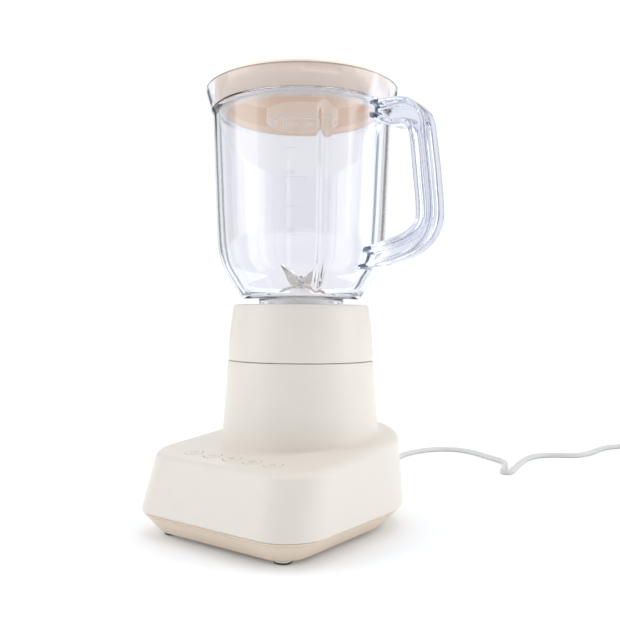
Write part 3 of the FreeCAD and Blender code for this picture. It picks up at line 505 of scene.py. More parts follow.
slot_of = {s["node"]: s["material_slot"] for s in frame["record"]["subparts"]}
for name, o in frame["nodes"].items():
    mat = M[slot_of[name]]
    if not o.material_slots:
        o.data.materials.append(mat)
    for s in o.material_slots:
        s.material = mat

# ------------------------------------------------------------------ mains lead
CORD_D = 5.0
Z = CORD_D / 2
CORD_Z = 28.5
ROUTE = [(0, 84.0, CORD_Z), (0, 106.0, CORD_Z), (-2.4, 128.0, 22.0), (-7.0, 148.0, 10.0), (-15.0, 168.0, Z + 0.5), (-28.0, 190.0, Z), (-46.0, 216.0, Z), (-60.0, 244.0, Z),
         (-64.5, 272.0, Z), (-57.0, 308.0, Z), (-38.0, 328.0, Z), (-12.0, 326.0, Z), (16.0, 307.0, Z), (38.5, 294.5, Z), (47.5, 271.0, Z), (54.0, 247.5, Z),
         (58.4, 245.2, Z), (62.0, 248.6, Z), (58.6, 266.0, Z), (53.0, 293.6, Z), (48.5, 328.0, Z), (53.0, 352.0, Z), (68.0, 365.5, Z), (84.0, 374.0, Z),
         (91.0, 391.0, Z), (93.0, 417.0, Z), (95.0, 446.0, Z), (108.0, 470.0, Z), (136.0, 485.6, Z), (160.0, 485.7, Z)]
COIL_C, TURN_R, PITCH = (166.0, 455.7), 30.0, 5.1


def coil_points():
    """Two turns on the table and a third lying in the groove on top of them"""
    pts = []
    per = 18
    k = 0.999 / math.cos(math.pi / per)
    for i in range(1, 3 * per + 1):
        phi = 360.0 * i / per
        r = TURN_R - PITCH * smooth01(270, 400, phi) + 0.5 * PITCH * smooth01(560, 680, phi)
        z = Z + 4.4 * smooth01(560, 680, phi)
        a = math.radians(90 - phi)
        pts.append((COIL_C[0] + r * k * math.cos(a), COIL_C[1] + r * k * math.sin(a), z))
    return pts


PLUG = (188.5, 483.2, 7.0)
coil = coil_points()
lead_pts = ROUTE + coil + [(173.0, PLUG[1], 7.6), (181.0, PLUG[1], 7.6), (191.5, PLUG[1], 7.0)]
cd = bpy.data.curves.new("mains_lead", "CURVE")
cd.dimensions = "3D"
cd.bevel_depth = CORD_D / 2 * 0.001
cd.bevel_resolution = 6
cd.resolution_u = 8
cd.use_fill_caps = True
sp = cd.splines.new("NURBS")
sp.points.add(len(lead_pts) - 1)
for pt, p in zip(sp.points, lead_pts):
    pt.co = (*row(*p), 1.0)
sp.order_u = 3
sp.use_endpoint_u = True
lead = bpy.data.objects.new("mains_lead", cd)
scene.collection.objects.link(lead)
cd.materials.append(M["cord_pvc"])
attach(lead, "base")
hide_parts("power_cord", "cord_coil")

# plug: rounded two-pin body with grip ribs and a ribbed neck
def rrect(hx, hy, r, n=6):
    pts = []
    for cx, cy, a0 in ((hx - r, hy - r, 0), (-(hx - r), hy - r, 90), (-(hx - r), -(hy - r), 180), (hx - r, -(hy - r), 270)):
        for k in range(n + 1):
            a = math.radians(a0 + 90 * k / n)
            pts.append((cx + r * math.cos(a), cy + r * math.sin(a)))
    return pts


def plug_rings():
    out = []
    st = [(0.0, 3.6, 3.4, 2.8), (0.6, 3.9, 3.5, 3.0)]
    for k in range(4):
        x = 2.0 + 2.6 * k
        st += [(x, 3.9, 3.5, 3.0), (x + 0.3, 3.2, 3.0, 2.6), (x + 1.2, 3.2, 3.0, 2.6), (x + 1.5, 4.0, 3.5, 3.0)]
    st += [(12.6, 4.2, 3.6, 3.0), (14.0, 6.6, 4.6, 3.6), (16.0, 9.2, 5.9, 4.2), (18.6, 10.5, 6.7, 4.6), (22.0, 10.8, 6.9, 4.4)]
    for k in range(3):
        x = 23.4 + 2.2 * k
        st += [(x, 10.8, 6.9, 4.4), (x + 0.3, 10.2, 6.4, 4.2), (x + 0.9, 10.2, 6.4, 4.2), (x + 1.2, 10.8, 6.9, 4.4)]
    st += [(31.6, 10.9, 6.95, 4.2), (32.7, 10.6, 6.7, 4.0), (33.0, 10.0, 6.2, 3.6)]
    for x, hy, hz, r in st:
        out.append([(PLUG[0] + x, PLUG[1] + a, PLUG[2] + b) for a, b in rrect(hy, hz, min(r, hz * 0.98))])
    return out


plug = loops("plug_shell", plug_rings(), M["cord_pvc"], "base", close=False, angle=40)
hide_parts("plug_body")
pins = []
for s in (-1, 1):
    y0 = PLUG[1] + s * 6.35
    rings = []
    for x, hz, hy in ((32.0, 3.1, 0.75), (49.2, 3.1, 0.75), (50.4, 2.7, 0.62), (51.0, 2.2, 0.45)):
        rings.append([(PLUG[0] + x, y0 + a, PLUG[2] + b) for a, b in rrect(hy, hz, hy * 0.45, 3)])
    v, f = loops("", rings, None, None, close=False, raw=True)
    pins.append((v, f))
pin_v, pin_f = [], []
for v, f in pins:
    k = len(pin_v)
    pin_v += v
    pin_f += [tuple(i + k for i in t) for t in f]
plug_pin = make("plug_blades", pin_v, pin_f, M["brass"], "base", replaces=["plug_pins"])

# cord bushing with a tapered, grooved tail
prof = [(2.56, 68.0), (7.6, 68.0, 0.4), (8.0, 70.0, 0.3), (6.2, 70.0), (6.2, 75.2), (8.0, 75.2, 0.4), (7.9, 77.3, 1.4), (6.0, 77.6, 0.6), (5.75, 79.8)]
for k in range(5):
    y = 80.0 + 3.4 * k
    r = 5.6 - 0.33 * k
    prof += [(r, y, 0.2), (r - 0.95, y + 0.1, 0.3), (r - 1.0, y + 1.0, 0.3), (r - 0.1, y + 1.1, 0.2)]
prof += [(3.95, 97.4, 0.4), (3.3, 98.0, 0.3), (2.56, 98.0)]
bp = dense(rounded(prof, 3), 3.0)
bv, bf = lathe_data(bp, 48)
bv = [(x, z, CORD_Z + y) for x, y, z in bv]
bushing = make("lead_bushing", bv, bf, M["cord_pvc"], "base", replaces=["cord_bushing"], weighted=True)

# ------------------------------------------------------------------ housing
SEAM_Z, HW, FRONT, RC = 17.0, 75.0, 101.0, 30.0
SD, FD = 0.080, 0.285
PZ0, PK = 62.8, 0.092
TILT = math.atan(PK)
WALL = 2.6
TZ, TRT, TRB = 117.6, 53.2, 57.0


def outline(hw, front, rc, rear=None):
    """Plan outline, equal point count and order for every size: rear half-round, sides, corners, front"""
    rear = rear or hw
    pts = []
    for k in range(72):
        a = math.pi * k / 72
        pts.append((rear * math.cos(a), rear * math.sin(a)))
    cy, cx = -(front - rc), hw - rc
    for k in range(16):
        pts.append((-hw, cy * k / 16))
    for k in range(20):
        a = math.pi + 0.5 * math.pi * k / 20
        pts.append((-cx + rc * math.cos(a), cy + rc * math.sin(a)))
    for k in range(20):
        pts.append((-cx + 2 * cx * k / 20, -front))
    for k in range(20):
        a = 1.5 * math.pi + 0.5 * math.pi * k / 20
        pts.append((cx + rc * math.cos(a), cy + rc * math.sin(a)))
    for k in range(16):
        pts.append((hw, cy * (1 - k / 16)))
    return pts


def shell_at(z, inset=0.0):
    hw = HW - SD * (z - SEAM_Z) - inset
    return outline(hw, FRONT - FD * (z - SEAM_Z) - inset, max(RC - inset, 5.0), hw)


def tower_r(z):
    return TRT + (TRB - TRT) * (TZ - z) / (TZ - 60.0)


def fillet3(c, din, dout, rad, n):
    """Points of a round between two directions that meet at c"""
    din, dout = din.normalized(), dout.normalized()
    turn = din.angle(dout)
    t = rad * math.tan(turn / 2)
    s, e = c - din * t, c + dout * t
    bis = (dout - din).normalized()
    mid = c + bis * (rad / math.cos(turn / 2))
    u = s - mid
    w = e - mid
    return [mid + (u * math.sin((1 - k / n) * turn) + w * math.sin(k / n * turn)) / math.sin(turn) for k in range(n + 1)]


def wall_top(inset, drop):
    """Corner where the wall meets the panel plane, for each outline point, with the wall's direction"""
    a, b = shell_at(SEAM_Z, inset), shell_at(82.0, inset)
    out = []
    for (ax, ay), (bx, by) in zip(a, b):
        dx, dy = (bx - ax) / 65.0, (by - ay) / 65.0
        z = (PZ0 - drop + PK * (ay - SEAM_Z * dy)) / (1 - PK * dy)
        out.append((Vector((ax + (z - SEAM_Z) * dx, ay + (z - SEAM_Z) * dy, z)), Vector((dx, dy, 1.0))))
    return out


def normals_in(pts):
    n = len(pts)
    out = []
    for i in range(n):
        t = Vector(pts[(i + 1) % n][:2]) - Vector(pts[i - 1][:2])
        out.append(Vector((-t.y, t.x)).normalized())
    return out


tops = wall_top(0.0, 0.0)
nin = normals_in([tuple(c) for c, _ in tops])
rim = []
for (c, w), n2 in zip(tops, nin):
    h = Vector((n2.x, n2.y, PK * n2.y))
    rim.append(fillet3(c, w, h, 5.0, 8))
rings = []
base0 = shell_at(SEAM_Z)
rings.append([(x * 0.9935, y * 0.9945, SEAM_Z + 0.05) for x, y in base0])
rings.append([(x * 0.9965, y * 0.997, SEAM_Z + 0.0) for x, y in base0])
rings.append([(x * 0.9988, y * 0.999, SEAM_Z + 0.15) for x, y in shell_at(SEAM_Z)])
rings.append([(x, y, SEAM_Z + 0.5) for x, y in shell_at(SEAM_Z + 0.5)])
for k in range(8):
    s = 0.04 + 0.96 * k / 7
    rings.append([tuple(Vector((*p, SEAM_Z)).lerp(r[0], s)) for p, r in zip(base0, rim)])
for k in range(1, 9):
    rings.append([tuple(r[k]) for r in rim])
foot = []
for r in rim:
    a = math.atan2(r[8].y, r[8].x)
    z = 62.0
    for _ in range(4):
        rt = tower_r(z)
        z = PZ0 + PK * rt * math.sin(a)
    rt = tower_r(z)
    c = Vector((rt * math.cos(a), rt * math.sin(a), z))
    din = Vector((-math.cos(a), -math.sin(a), -PK * math.sin(a)))
    up = Vector((-(TRB - TRT) / (TZ - 60.0) * math.cos(a), -(TRB - TRT) / (TZ - 60.0) * math.sin(a), 1.0))
    foot.append(fillet3(c, din, up, 2.2, 6))
for k in range(1, 12):
    s = k / 12
    rings.append([tuple(r[8].lerp(f[0], s)) for r, f in zip(rim, foot)])
for k in range(7):
    rings.append([tuple(f[k]) for f in foot])
ang = [math.atan2(r[8].y, r[8].x) for r in rim]
for k in range(1, 9):
    s = k / 9
    rings.append([(*(tower_r(f[6].z + (TZ - 1.0 - f[6].z) * s) * Vector((math.cos(a), math.sin(a)))), f[6].z + (TZ - 1.0 - f[6].z) * s) for f, a in zip(foot, ang)])
deck = dense(rounded([(54.0, 112.0), (TRT, TZ, 0.9), (45.0, TZ, 0.6), (44.0, TZ, 0.6), (44.0, 124.0, 1.0), (41.0, 124.0, 1.0), (41.0, TZ, 0.8), (17.0, TZ), (11.0, TZ, 0.5), (11.0, 104.0),
                      (16.0, 104.0), (16.0, 114.6), (50.2, 114.6)], 4)[1:], 6.0, closed=False)
for r, z in deck:
    rings.append([(r * math.cos(a), r * math.sin(a), z) for a in ang])
inn = wall_top(WALL, WALL)
rings.append([((tower_r(p[0].z) - 2.8) * math.cos(a), (tower_r(p[0].z) - 2.8) * math.sin(a), PZ0 - WALL + PK * 53 * math.sin(a)) for p, a in zip(inn, ang)])
for s in (0.35, 0.7, 1.0):
    prev = rings[-1]
    rings.append([tuple(Vector(q3).lerp(p[0], s)) for q3, p in zip(prev, inn)])
rings.append([(x, y, SEAM_Z + 0.05) for x, y in shell_at(SEAM_Z, WALL)])
hv, hf = loops("", rings, None, None, raw=True)
housing = temp(hv, hf)


def to_panel(p):
    """Point in the panel's own frame (origin on the middle button, +Z out of the panel) -> mm about the drive axis"""
    x, y, z = p
    return (x, -73.0 + y * math.cos(TILT) - z * math.sin(TILT), PZ0 - PK * 73.0 + y * math.sin(TILT) + z * math.cos(TILT))


BTN_R, BTN_X = 6.2, [(i - 2) * 17.5 for i in range(5)]
cutters = []
for x in BTN_X:
    v, f = lathe_data([(0, 4.0), (BTN_R + 0.75, 4.0), (BTN_R + 0.75, 0.25), (BTN_R + 0.28, -0.25), (BTN_R + 0.28, -6.0), (0, -6.0)], 64)
    cutters.append(temp([to_panel((a + x, b, c)) for a, b, c in v], f))
v, f = lathe_data([(0, 100.0), (2.0, 100.0), (2.0, 117.0), (2.5, 117.8), (2.5, 119.0), (0, 119.0)], 40, cx=0.0, cy=33.0)
cutters.append(temp(v, f))
v, f = lathe_data([(0, 60.0), (6.3, 60.0), (6.3, 90.0), (0, 90.0)], 48)
cutters.append(temp([(x, z, CORD_Z + y) for x, y, z in v], f))
me = combine(housing, cutters, "DIFFERENCE")
house = dress("housing_shell", me, M["shell_plastic"], "base", 30, ["base_housing"])

# ------------------------------------------------------------------ bottom plate, feet
FH = 2.5


def skirt(z, inset=0.0):
    t = (z - FH) / (SEAM_Z - FH)
    hw = 61.0 + (HW - 61.0) * t - inset
    return outline(hw, 89.5 + (FRONT - 89.5) * t - inset, max(19.0 + (RC - 19.0) * t - min(inset, 8.0), 3.0), hw)


def ring_of(fn, z, inset):
    return [(x, y, z) for x, y in fn(z, inset)]


pr = []
pr.append([(x, y, FH) for x, y in skirt(FH, 12.0)])
pr.append([(x, y, FH) for x, y in skirt(FH, 5.0)])
pr.append([(x, y, FH) for x, y in skirt(FH, 1.6)])
pr.append([(x, y, FH + 0.1) for x, y in skirt(FH, 0.9)])
pr.append([(x, y, FH + 0.45) for x, y in skirt(FH, 0.25)])
pr.append([(x, y, FH + 1.0) for x, y in skirt(FH + 0.8, 0.02)])
for z in (5.0, 8.0, 11.0, 13.4):
    pr.append(ring_of(skirt, z, 0.0))
pr.append(ring_of(skirt, 14.0, 0.0))
pr.append([(x, y, 14.35) for x, y in skirt(14.35, -0.05)])
pr.append([(x, y, 14.6) for x, y in skirt(14.6, 0.35)])
pr.append([(x, y, 14.9) for x, y in skirt(14.9, 0.5)])
pr.append([(x, y, 15.2) for x, y in skirt(15.2, 0.2)])
pr.append([(x, y, 16.3) for x, y in skirt(16.3, 0.12)])
pr.append([(x, y, 16.62) for x, y in skirt(16.62, 0.4)])
pr.append([(x, y, 16.7) for x, y in skirt(16.7, 1.2)])
pr.append([(x, y, 16.7) for x, y in shell_at(SEAM_Z, 3.1)])
pr.append([(x, y, 19.4) for x, y in shell_at(SEAM_Z, 3.2)])
pr.append([(x, y, 19.4) for x, y in shell_at(SEAM_Z, 4.9)])
pr.append([(x, y, 14.8) for x, y in shell_at(SEAM_Z, 5.4)])
for z, i in ((12.0, 2.8), (8.0, 2.8), (5.6, 3.2), (5.1, 4.4)):
    pr.append([(x, y, z) for x, y in skirt(z, i)])
pr.append([(x, y, 5.1) for x, y in skirt(5.1, 14.0)])
pv, pf = loops("", pr, None, None, close=False, raw=True)
tray = temp(pv, pf)
FEET = [(-48.5, -79.5), (48.5, -79.5), (-37.5, 36.0), (37.5, 36.0)]
SCREWS = [(-52.0, -60.0), (52.0, -60.0), (-44.0, 42.0), (44.0, 42.0)]
cutters = []
for x, y in FEET:
    v, f = lathe_data([(0, 0), (6.9, 0.0), (6.9, FH), (6.4, FH + 0.4), (6.4, 4.0), (0, 4.0)], 48, cx=x, cy=y)
    cutters.append(temp(v, f))
for x, y in SCREWS:
    v, f = lathe_data([(0, 0), (3.7, 0.0), (3.7, FH), (3.2, FH + 0.4), (3.2, 8.0), (0, 8.0)], 32, cx=x, cy=y)
    cutters.append(temp(v, f))
for i in range(-4, 5):
    h = math.sqrt(28.0 ** 2 - (i * 6.0) ** 2)
    ring0 = []
    for k in range(9):
        a = math.pi * k / 8
        ring0.append((i * 6.0 + 1.5 * math.cos(a), h - 1.5 + 1.5 * math.sin(a)))
    for k in range(9):
        a = math.pi + math.pi * k / 8
        ring0.append((i * 6.0 + 1.5 * math.cos(a), -(h - 1.5) + 1.5 * math.sin(a)))
    v, f = loops("", [[(a, b, z) for a, b in ring0] for z in (0.0, 8.0)], None, None, close=False, raw=True)
    cutters.append(temp(v, f))
me = combine(tray, cutters, "DIFFERENCE")
tray = dress("bottom_tray", me, M["trim_plastic"], "base", 28, ["bottom_plate"])

fv, ff, gv, gf = [], [], [], []
for x, y in FEET:
    v, f = lathe_data(dense(rounded([(0, 0.9), (5.5, 0.9, 0.3), (6.15, 2.0, 0.6), (6.25, 3.9, 0.2), (0, 3.9)], 4), 1.5), 48, cx=x, cy=y)
    k = len(fv); fv += v; ff += [tuple(i + k for i in t) for t in f]
    v, f = lathe_data(dense(rounded([(0, 0.5), (3.4, 0.5), (3.7, 0.0, 0.25), (5.6, 0.0, 0.45), (5.85, 0.95, 0.3), (4.0, 1.15), (0, 1.15)], 4), 1.5), 48, cx=x, cy=y)
    k = len(gv); gv += v; gf += [tuple(i + k for i in t) for t in f]
feet = make("feet", fv, ff, M["foot_clear"], "base", replaces=["rubber_feet"], weighted=True)
pads = make("feet_pads", gv, gf, M["rubber"], "base", weighted=True)

# ------------------------------------------------------------------ buttons
def icon_ring(r, w, h=0.09, a0=0.0, a1=360.0, n=40):
    """Flat printed arc as a thin solid"""
    rings_ = []
    full = abs(a1 - a0) >= 360
    steps = n if full else n + 1
    for k in range(steps):
        a = math.radians(a0 + (a1 - a0) * k / n)
        c, s = math.cos(a), math.sin(a)
        rings_.append([((r - w / 2) * c, (r - w / 2) * s, 0.0), ((r + w / 2) * c, (r + w / 2) * s, 0.0),
                       ((r + w / 2) * c, (r + w / 2) * s, h), ((r - w / 2) * c, (r - w / 2) * s, h)])
    return loops("", rings_, None, None, close=full, raw=True)


def icon_bar(x0, y0, x1, y1, w, h=0.09):
    d = Vector((x1 - x0, y1 - y0)).normalized()
    n2 = Vector((-d.y, d.x)) * w / 2
    ring_ = [(x0 + n2.x, y0 + n2.y), (x0 - n2.x, y0 - n2.y), (x1 - n2.x, y1 - n2.y), (x1 + n2.x, y1 + n2.y)]
    return loops("", [[(a, b, z) for a, b in ring_] for z in (0.0, h)], None, None, close=False, raw=True)


ICONS = [
    [icon_ring(2.5, 0.42, a0=125, a1=415), icon_bar(0, 0.6, 0, 3.4, 0.45)],
    [icon_bar(-2.2, -2.0, -2.2, -0.6, 0.8), icon_bar(0, -2.0, 0, 0.7, 0.8), icon_bar(2.2, -2.0, 2.2, 2.2, 0.8)],
    [icon_bar(-2.6, 0, 2.6, 0, 0.42), icon_bar(-1.3, -2.25, 1.3, 2.25, 0.42), icon_bar(-1.3, 2.25, 1.3, -2.25, 0.42)],
    [icon_ring(1.1, 0.4), icon_ring(2.6, 0.4, a0=20, a1=110), icon_ring(2.6, 0.4, a0=140, a1=230), icon_ring(2.6, 0.4, a0=260, a1=350)],
    [icon_bar(-1.5, -2.2, -1.5, 2.2, 0.45), icon_bar(-1.5, 2.2, 2.2, 0, 0.45), icon_bar(2.2, 0, -1.5, -2.2, 0.45)],
]
for i, x in enumerate(BTN_X):
    prof = dense(rounded([(0, 0.12), (4.6, 0.16), (BTN_R, 0.2, 0.35), (BTN_R, -2.9, 0.2), (BTN_R + 1.4, -2.9, 0.2), (BTN_R + 1.4, -4.0, 0.2), (2.2, -4.0), (2.2, -9.0, 0.4), (0, -9.0)], 5), 1.2)
    v, f = lathe_data(prof, 72)
    b = make("button_cap_%d" % (i + 1), [to_panel((a + x, c, d)) for a, c, d in v], f, M["button_plastic"], "button_%d" % (i + 1), replaces=["button_%d" % (i + 1)], weighted=True)
    iv, if_ = [], []
    for v, f in ICONS[i]:
        k = len(iv)
        iv += [to_panel((a + x, c, d + 0.11)) for a, c, d in v]
        if_ += [tuple(j + k for j in t) for t in f]
    mk = make("button_mark_%d" % (i + 1), iv, if_, M["print_grey"], "button_%d" % (i + 1))

# ------------------------------------------------------------------ blade collar
cp = [(53.1, 118.0, 0.5), (52.75, 125.0), (51.9, 137.5), (50.4, 148.5), (49.5, 155.2), (48.8, 157.7, 1.3), (31.4, 157.7, 0.6), (31.4, 146.0), (12.0, 146.0), (12.0, 141.0), (30.4, 141.0, 0.5),
      (30.4, 121.8, 0.5), (34.6, 121.8, 0.5), (34.6, 140.0), (36.2, 141.0), (36.2, 153.6), (37.2, 154.7), (44.6, 154.7), (45.8, 153.4), (48.7, 137.5), (49.9, 118.0, 0.5)]
v, f = lathe_data(dense(rounded(cp, 5), 3.5), 180)
collar = temp(v, f)


def wedge(ro, ri, z0, z1, a0, a1, n=14):
    out = []
    for k in range(n + 1):
        a = math.radians(a0 + (a1 - a0) * k / n)
        out.append([(ri * math.cos(a), ri * math.sin(a), z0), (ro * math.cos(a), ro * math.sin(a), z0), (ro * math.cos(a), ro * math.sin(a), z1), (ri * math.cos(a), ri * math.sin(a), z1)])
    return loops("", out, None, None, close=False, raw=True)


cutters = []
for a in (60.0, 180.0, 300.0):
    cutters.append(temp(*wedge(33.7, 29.0, 149.6, 153.6, a - 13.8, a + 57.0, 26)))
    cutters.append(temp(*wedge(33.7, 29.0, 153.0, 160.0, a + 23.0, a + 57.0, 16)))
me = combine(collar, cutters, "DIFFERENCE")
collar = dress("collar_ring", me, M["shell_plastic"], "blade_unit", 30, ["blade_collar"])

# ------------------------------------------------------------------ jar with its grip
outer = curve([(43.4, 162.6), (46.6, 168.0), (50.8, 174.0), (54.4, 180.0), (57.2, 186.0), (59.2, 192.0), (60.5, 199.0), (61.2, 208.0),
               (61.9, 222.0), (62.6, 240.0), (63.4, 258.0), (64.1, 277.0), (64.7, 294.5)], 5)
inner = curve([(60.9, 296.0), (60.3, 279.0), (59.5, 260.0), (58.7, 242.0), (57.9, 224.0), (57.1, 210.0), (56.4, 201.0), (55.2, 193.5),
               (53.4, 187.0), (50.6, 181.2), (47.1, 175.8), (43.6, 170.8), (40.6, 166.6), (38.9, 164.2)], 6)
rim_pts = rounded([(64.7, 294.5), (66.2, 297.6, 3.0), (68.0, 303.4), (69.4, 308.4), (70.1, 312.9, 1.2), (67.6, 312.9, 1.0), (66.4, 308.4), (64.4, 302.6), (63.0, 299.0, 0.6), (61.1, 298.9, 0.5), (60.9, 296.0)], 5)[1:-1]
neck = rounded([(38.9, 164.2), (38.2, 163.7, 0.5), (25.6, 163.7, 0.5), (24.7, 163.0, 0.5), (24.7, 148.5, 0.6), (30.95, 148.5, 0.6), (30.95, 161.6, 0.6), (42.6, 161.6, 0.7), (43.4, 162.6)], 4)[1:-1]
jar_prof = outer + dense(rim_pts, 2.0, closed=False) + inner + dense(neck, 3.0, closed=False)
n_out, n_in0 = len(outer) + len(dense(rim_pts, 2.0, closed=False)), len(inner)
angles = []
RIB_A = 51.0
for k in range(4):
    c = RIB_A + 90 * k
    angles += [c + d for d in [x * 0.36 for x in range(-15, 16)]]
    angles += [c + d for d in [5.6 + (90 - 11.2) * j / 30 for j in range(0, 31)]]
angles = sorted({round(a % 360, 4) for a in angles})
angles = [math.radians(a) for a in angles]


def rib_shift(i, r, z, a):
    if not n_out <= i < n_out + n_in0:
        return 0.0
    d = (math.degrees(a) - RIB_A + 45.0) % 90.0 - 45.0
    half = 4.9 + 0.6 * smooth01(272, 288, z)
    h = 1.7 * smooth01(295.6, 282.0, z) * smooth01(39.5, 46.0, r)
    t = abs(d) / half
    if t >= 1 or h <= 0:
        return 0.0
    return -h * math.cos(0.5 * math.pi * t) ** 2


v, f = lathe_data(jar_prof, shift=rib_shift, angles=angles)
vessel = temp(v, f)

O = [(62.0, 295.2), (70.0, 295.2), (78.0, 294.9), (86.0, 294.2), (91.6, 292.7), (96.4, 289.4), (100.4, 285.2), (103.2, 280.4), (104.9, 274.0), (106.0, 266.0), (107.2, 257.0), (108.8, 245.0),
     (110.0, 233.0), (110.9, 223.0), (111.1, 215.0), (110.0, 209.0), (107.6, 203.2), (103.6, 198.2), (97.4, 193.2), (90.0, 189.8), (82.0, 187.4), (73.0, 185.0), (64.0, 183.2), (54.0, 181.6)]
I = [(62.0, 284.2), (67.6, 282.0), (72.6, 278.9), (78.6, 276.8), (84.2, 276.2), (88.4, 275.6), (91.4, 273.6), (93.0, 270.2), (93.9, 265.4), (94.6, 259.6), (95.4, 252.6), (96.4, 242.6),
     (97.5, 232.6), (98.4, 224.0), (98.7, 217.4), (98.3, 213.0), (96.8, 210.0), (94.2, 207.4), (90.2, 205.0), (85.6, 203.2), (80.0, 201.6), (73.0, 199.8), (66.0, 198.0), (57.6, 196.2)]
stations = curve([(*o, *i) for o, i in zip(O, I)], 6)
depth_at = []
arc = 0.0
prev = None
for s in stations:
    m = Vector(((s[0] + s[2]) / 2, (s[1] + s[3]) / 2))
    arc += (m - prev).length if prev else 0.0
    prev = m
    depth_at.append(arc)
total = depth_at[-1]


def grip_ring(s, arc_here):
    o, i = Vector(s[:2]), Vector(s[2:])
    T = (o - i).length
    e = (o - i).normalized()
    hw = 9.0
    d = 5.9
    ti, to = 3.8, 3.0
    sl = 0.7
    pts = [(0.0, -hw, 2.4), (ti, -hw, 0.8), (ti + sl, -hw + d, 1.2), (T - to - sl, -hw + d, 1.2), (T - to, -hw, 0.8), (T, -hw, 2.6),
           (T, hw, 2.6), (T - to, hw, 0.8), (T - to - sl, hw - d, 1.2), (ti + sl, hw - d, 1.2), (ti, hw, 0.8), (0.0, hw, 2.4)]
    prof_ = rounded(pts, 5)
    return [(i.x + e.x * u, w, i.y + e.y * u) for u, w in prof_]


gr = [grip_ring(s, a) for s, a in zip(stations, depth_at)]
v, f = loops("", gr, None, None, close=False, raw=True)
grip = temp(v, f)
me = combine(vessel, [grip], "UNION")
jar = dress("jar_body", me, M["jar_clear"], "jar", 30, ["jar_vessel", "jar_handle"])
lugs_v, lugs_f = [], []
for a in (60.0, 180.0, 300.0):
    v, f = wedge(33.2, 30.9, 150.0, 153.2, a - 13.0, a + 13.0)
    k = len(lugs_v); lugs_v += v; lugs_f += [tuple(i + k for i in t) for t in f]
lugs = make("jar_lugs", lugs_v, lugs_f, M["jar_clear"], "jar")

# measuring scale: raised frosted lines and figures on the wall near the front
def jar_outer_r(z):
    for (r0, z0), (r1, z1) in zip(outer[:-1], outer[1:]):
        if z0 <= z <= z1:
            return r0 + (r1 - r0) * (z - z0) / (z1 - z0)
    return outer[-1][0]


SCALE_A = math.radians(-53.5)
mv, mf = [], []


def wall_patch(x0, x1, z0, z1, h=0.22):
    nx = max(2, int((x1 - x0) / 1.5))
    ringset = []
    for k in range(nx + 1):
        x = x0 + (x1 - x0) * k / nx
        pts = []
        for dz, hh in ((z0, -0.05), (z1, -0.05), (z1, h), (z0, h)):
            r = jar_outer_r(dz) + hh
            a = SCALE_A + x / 62.0
            pts.append((r * math.cos(a), r * math.sin(a), dz))
        ringset.append(pts)
    v, f = loops("", ringset, None, None, close=False, raw=True)
    k = len(mv)
    mv.extend(v)
    mf.extend(tuple(i + k for i in t) for t in f)


for z, long_ in ((258.5, False), (240.0, True), (221.0, False), (202.5, True)):
    wall_patch(-10.0, 4.0 if long_ else -2.0, z - 0.2, z + 0.2, 0.06)
marks = make("scale_lines", mv, mf, M["jar_clear"], "jar")
mv, mf = [], []
wall_patch(-11.0, 12.0, 276.8, 277.3, 0.2)
wall_patch(-11.0, -10.5, 271.5, 277.0, 0.2)
wall_patch(11.5, 12.0, 271.5, 277.0, 0.2)
marks = make("scale_top_line", mv, mf, M["frosted"], "jar")
for text, z in (("MAX 1000", 272.2), ("600", 241.4), ("200", 203.9)):
    tc = bpy.data.curves.new("t", "FONT")
    tc.body = text
    tc.size = 4.2
    tc.extrude = 0.12 if z > 260 else 0.05
    tc.align_x = "LEFT"
    to = bpy.data.objects.new("t", tc)
    scene.collection.objects.link(to)
    bpy.context.view_layer.update()
    tm = bpy.data.meshes.new_from_object(to.evaluated_get(bpy.context.evaluated_depsgraph_get()))
    bpy.data.objects.remove(to)
    vs = []
    for vert in tm.vertices:
        zz = z + vert.co.y
        r = jar_outer_r(zz) + 0.08 + vert.co.z
        a = SCALE_A + (-9.6 + vert.co.x) / 62.0
        vs.append((r * math.cos(a), r * math.sin(a), zz))
    o = make("scale_figure_%d" % z, vs, [tuple(p.vertices) for p in tm.polygons], M["frosted" if z > 260 else "jar_clear"], "jar")

# ------------------------------------------------------------------ lid, plug, seal, filler cap
def notch(i, r, z, a):
    """Finger notch in the flange band, at the front"""
    if r < 61.6 or not 305.0 < z < 314.5:
        return 0.0
    d = (math.degrees(a) + 41.0 + 180) % 360 - 180
    w = smooth01(12.5, 10.5, abs(d))
    return -1.1 * w * smooth01(308.4, 309.2, z) * smooth01(313.0, 312.2, z)


lp = [(24.2, 290.5, 0.4), (26.2, 290.5, 0.4), (26.2, 314.2), (30.0, 314.2), (31.4, 316.3), (50.0, 316.1), (58.6, 315.4), (60.6, 313.6), (60.6, 309.0),
      (60.5, 303.4), (60.4, 299.3), (62.2, 299.3, 0.5), (62.5, 303.0), (62.8, 308.6), (63.0, 312.6), (62.9, 316.2, 0.9), (61.6, 317.7, 1.0), (58.0, 318.3, 5.0), (50.0, 318.75), (29.0, 319.0, 0.5),
      (28.0, 318.2, 0.4), (28.0, 316.8, 0.3), (24.2, 316.8, 0.3)]
lid_prof = dense(rounded(lp, 6), 1.6)
v, f = lathe_data(lid_prof, 240, notch)
lid = make("lid_shell", v, f, M["lid_plastic"], "lid", replaces=["lid"], weighted=True)
ins = lathe("lid_plug", [(52.8, 294.5, 0.8), (55.4, 294.5, 0.8), (55.4, 299.3), (60.1, 299.3, 0.3), (60.1, 301.6, 0.3), (55.4, 301.6), (55.4, 315.5), (52.8, 315.6)], M["lid_plastic"], "lid", replaces=["lid_insert"])
seal = lathe("lid_seal", [(55.5, 296.9, 0.3), (59.6, 296.9, 0.5), (60.6, 297.7, 0.5), (59.5, 298.1, 0.3), (60.6, 298.6, 0.5), (59.8, 299.2, 0.3), (55.5, 299.2)], M["seal_pale"], "lid", replaces=["lid_gasket"])
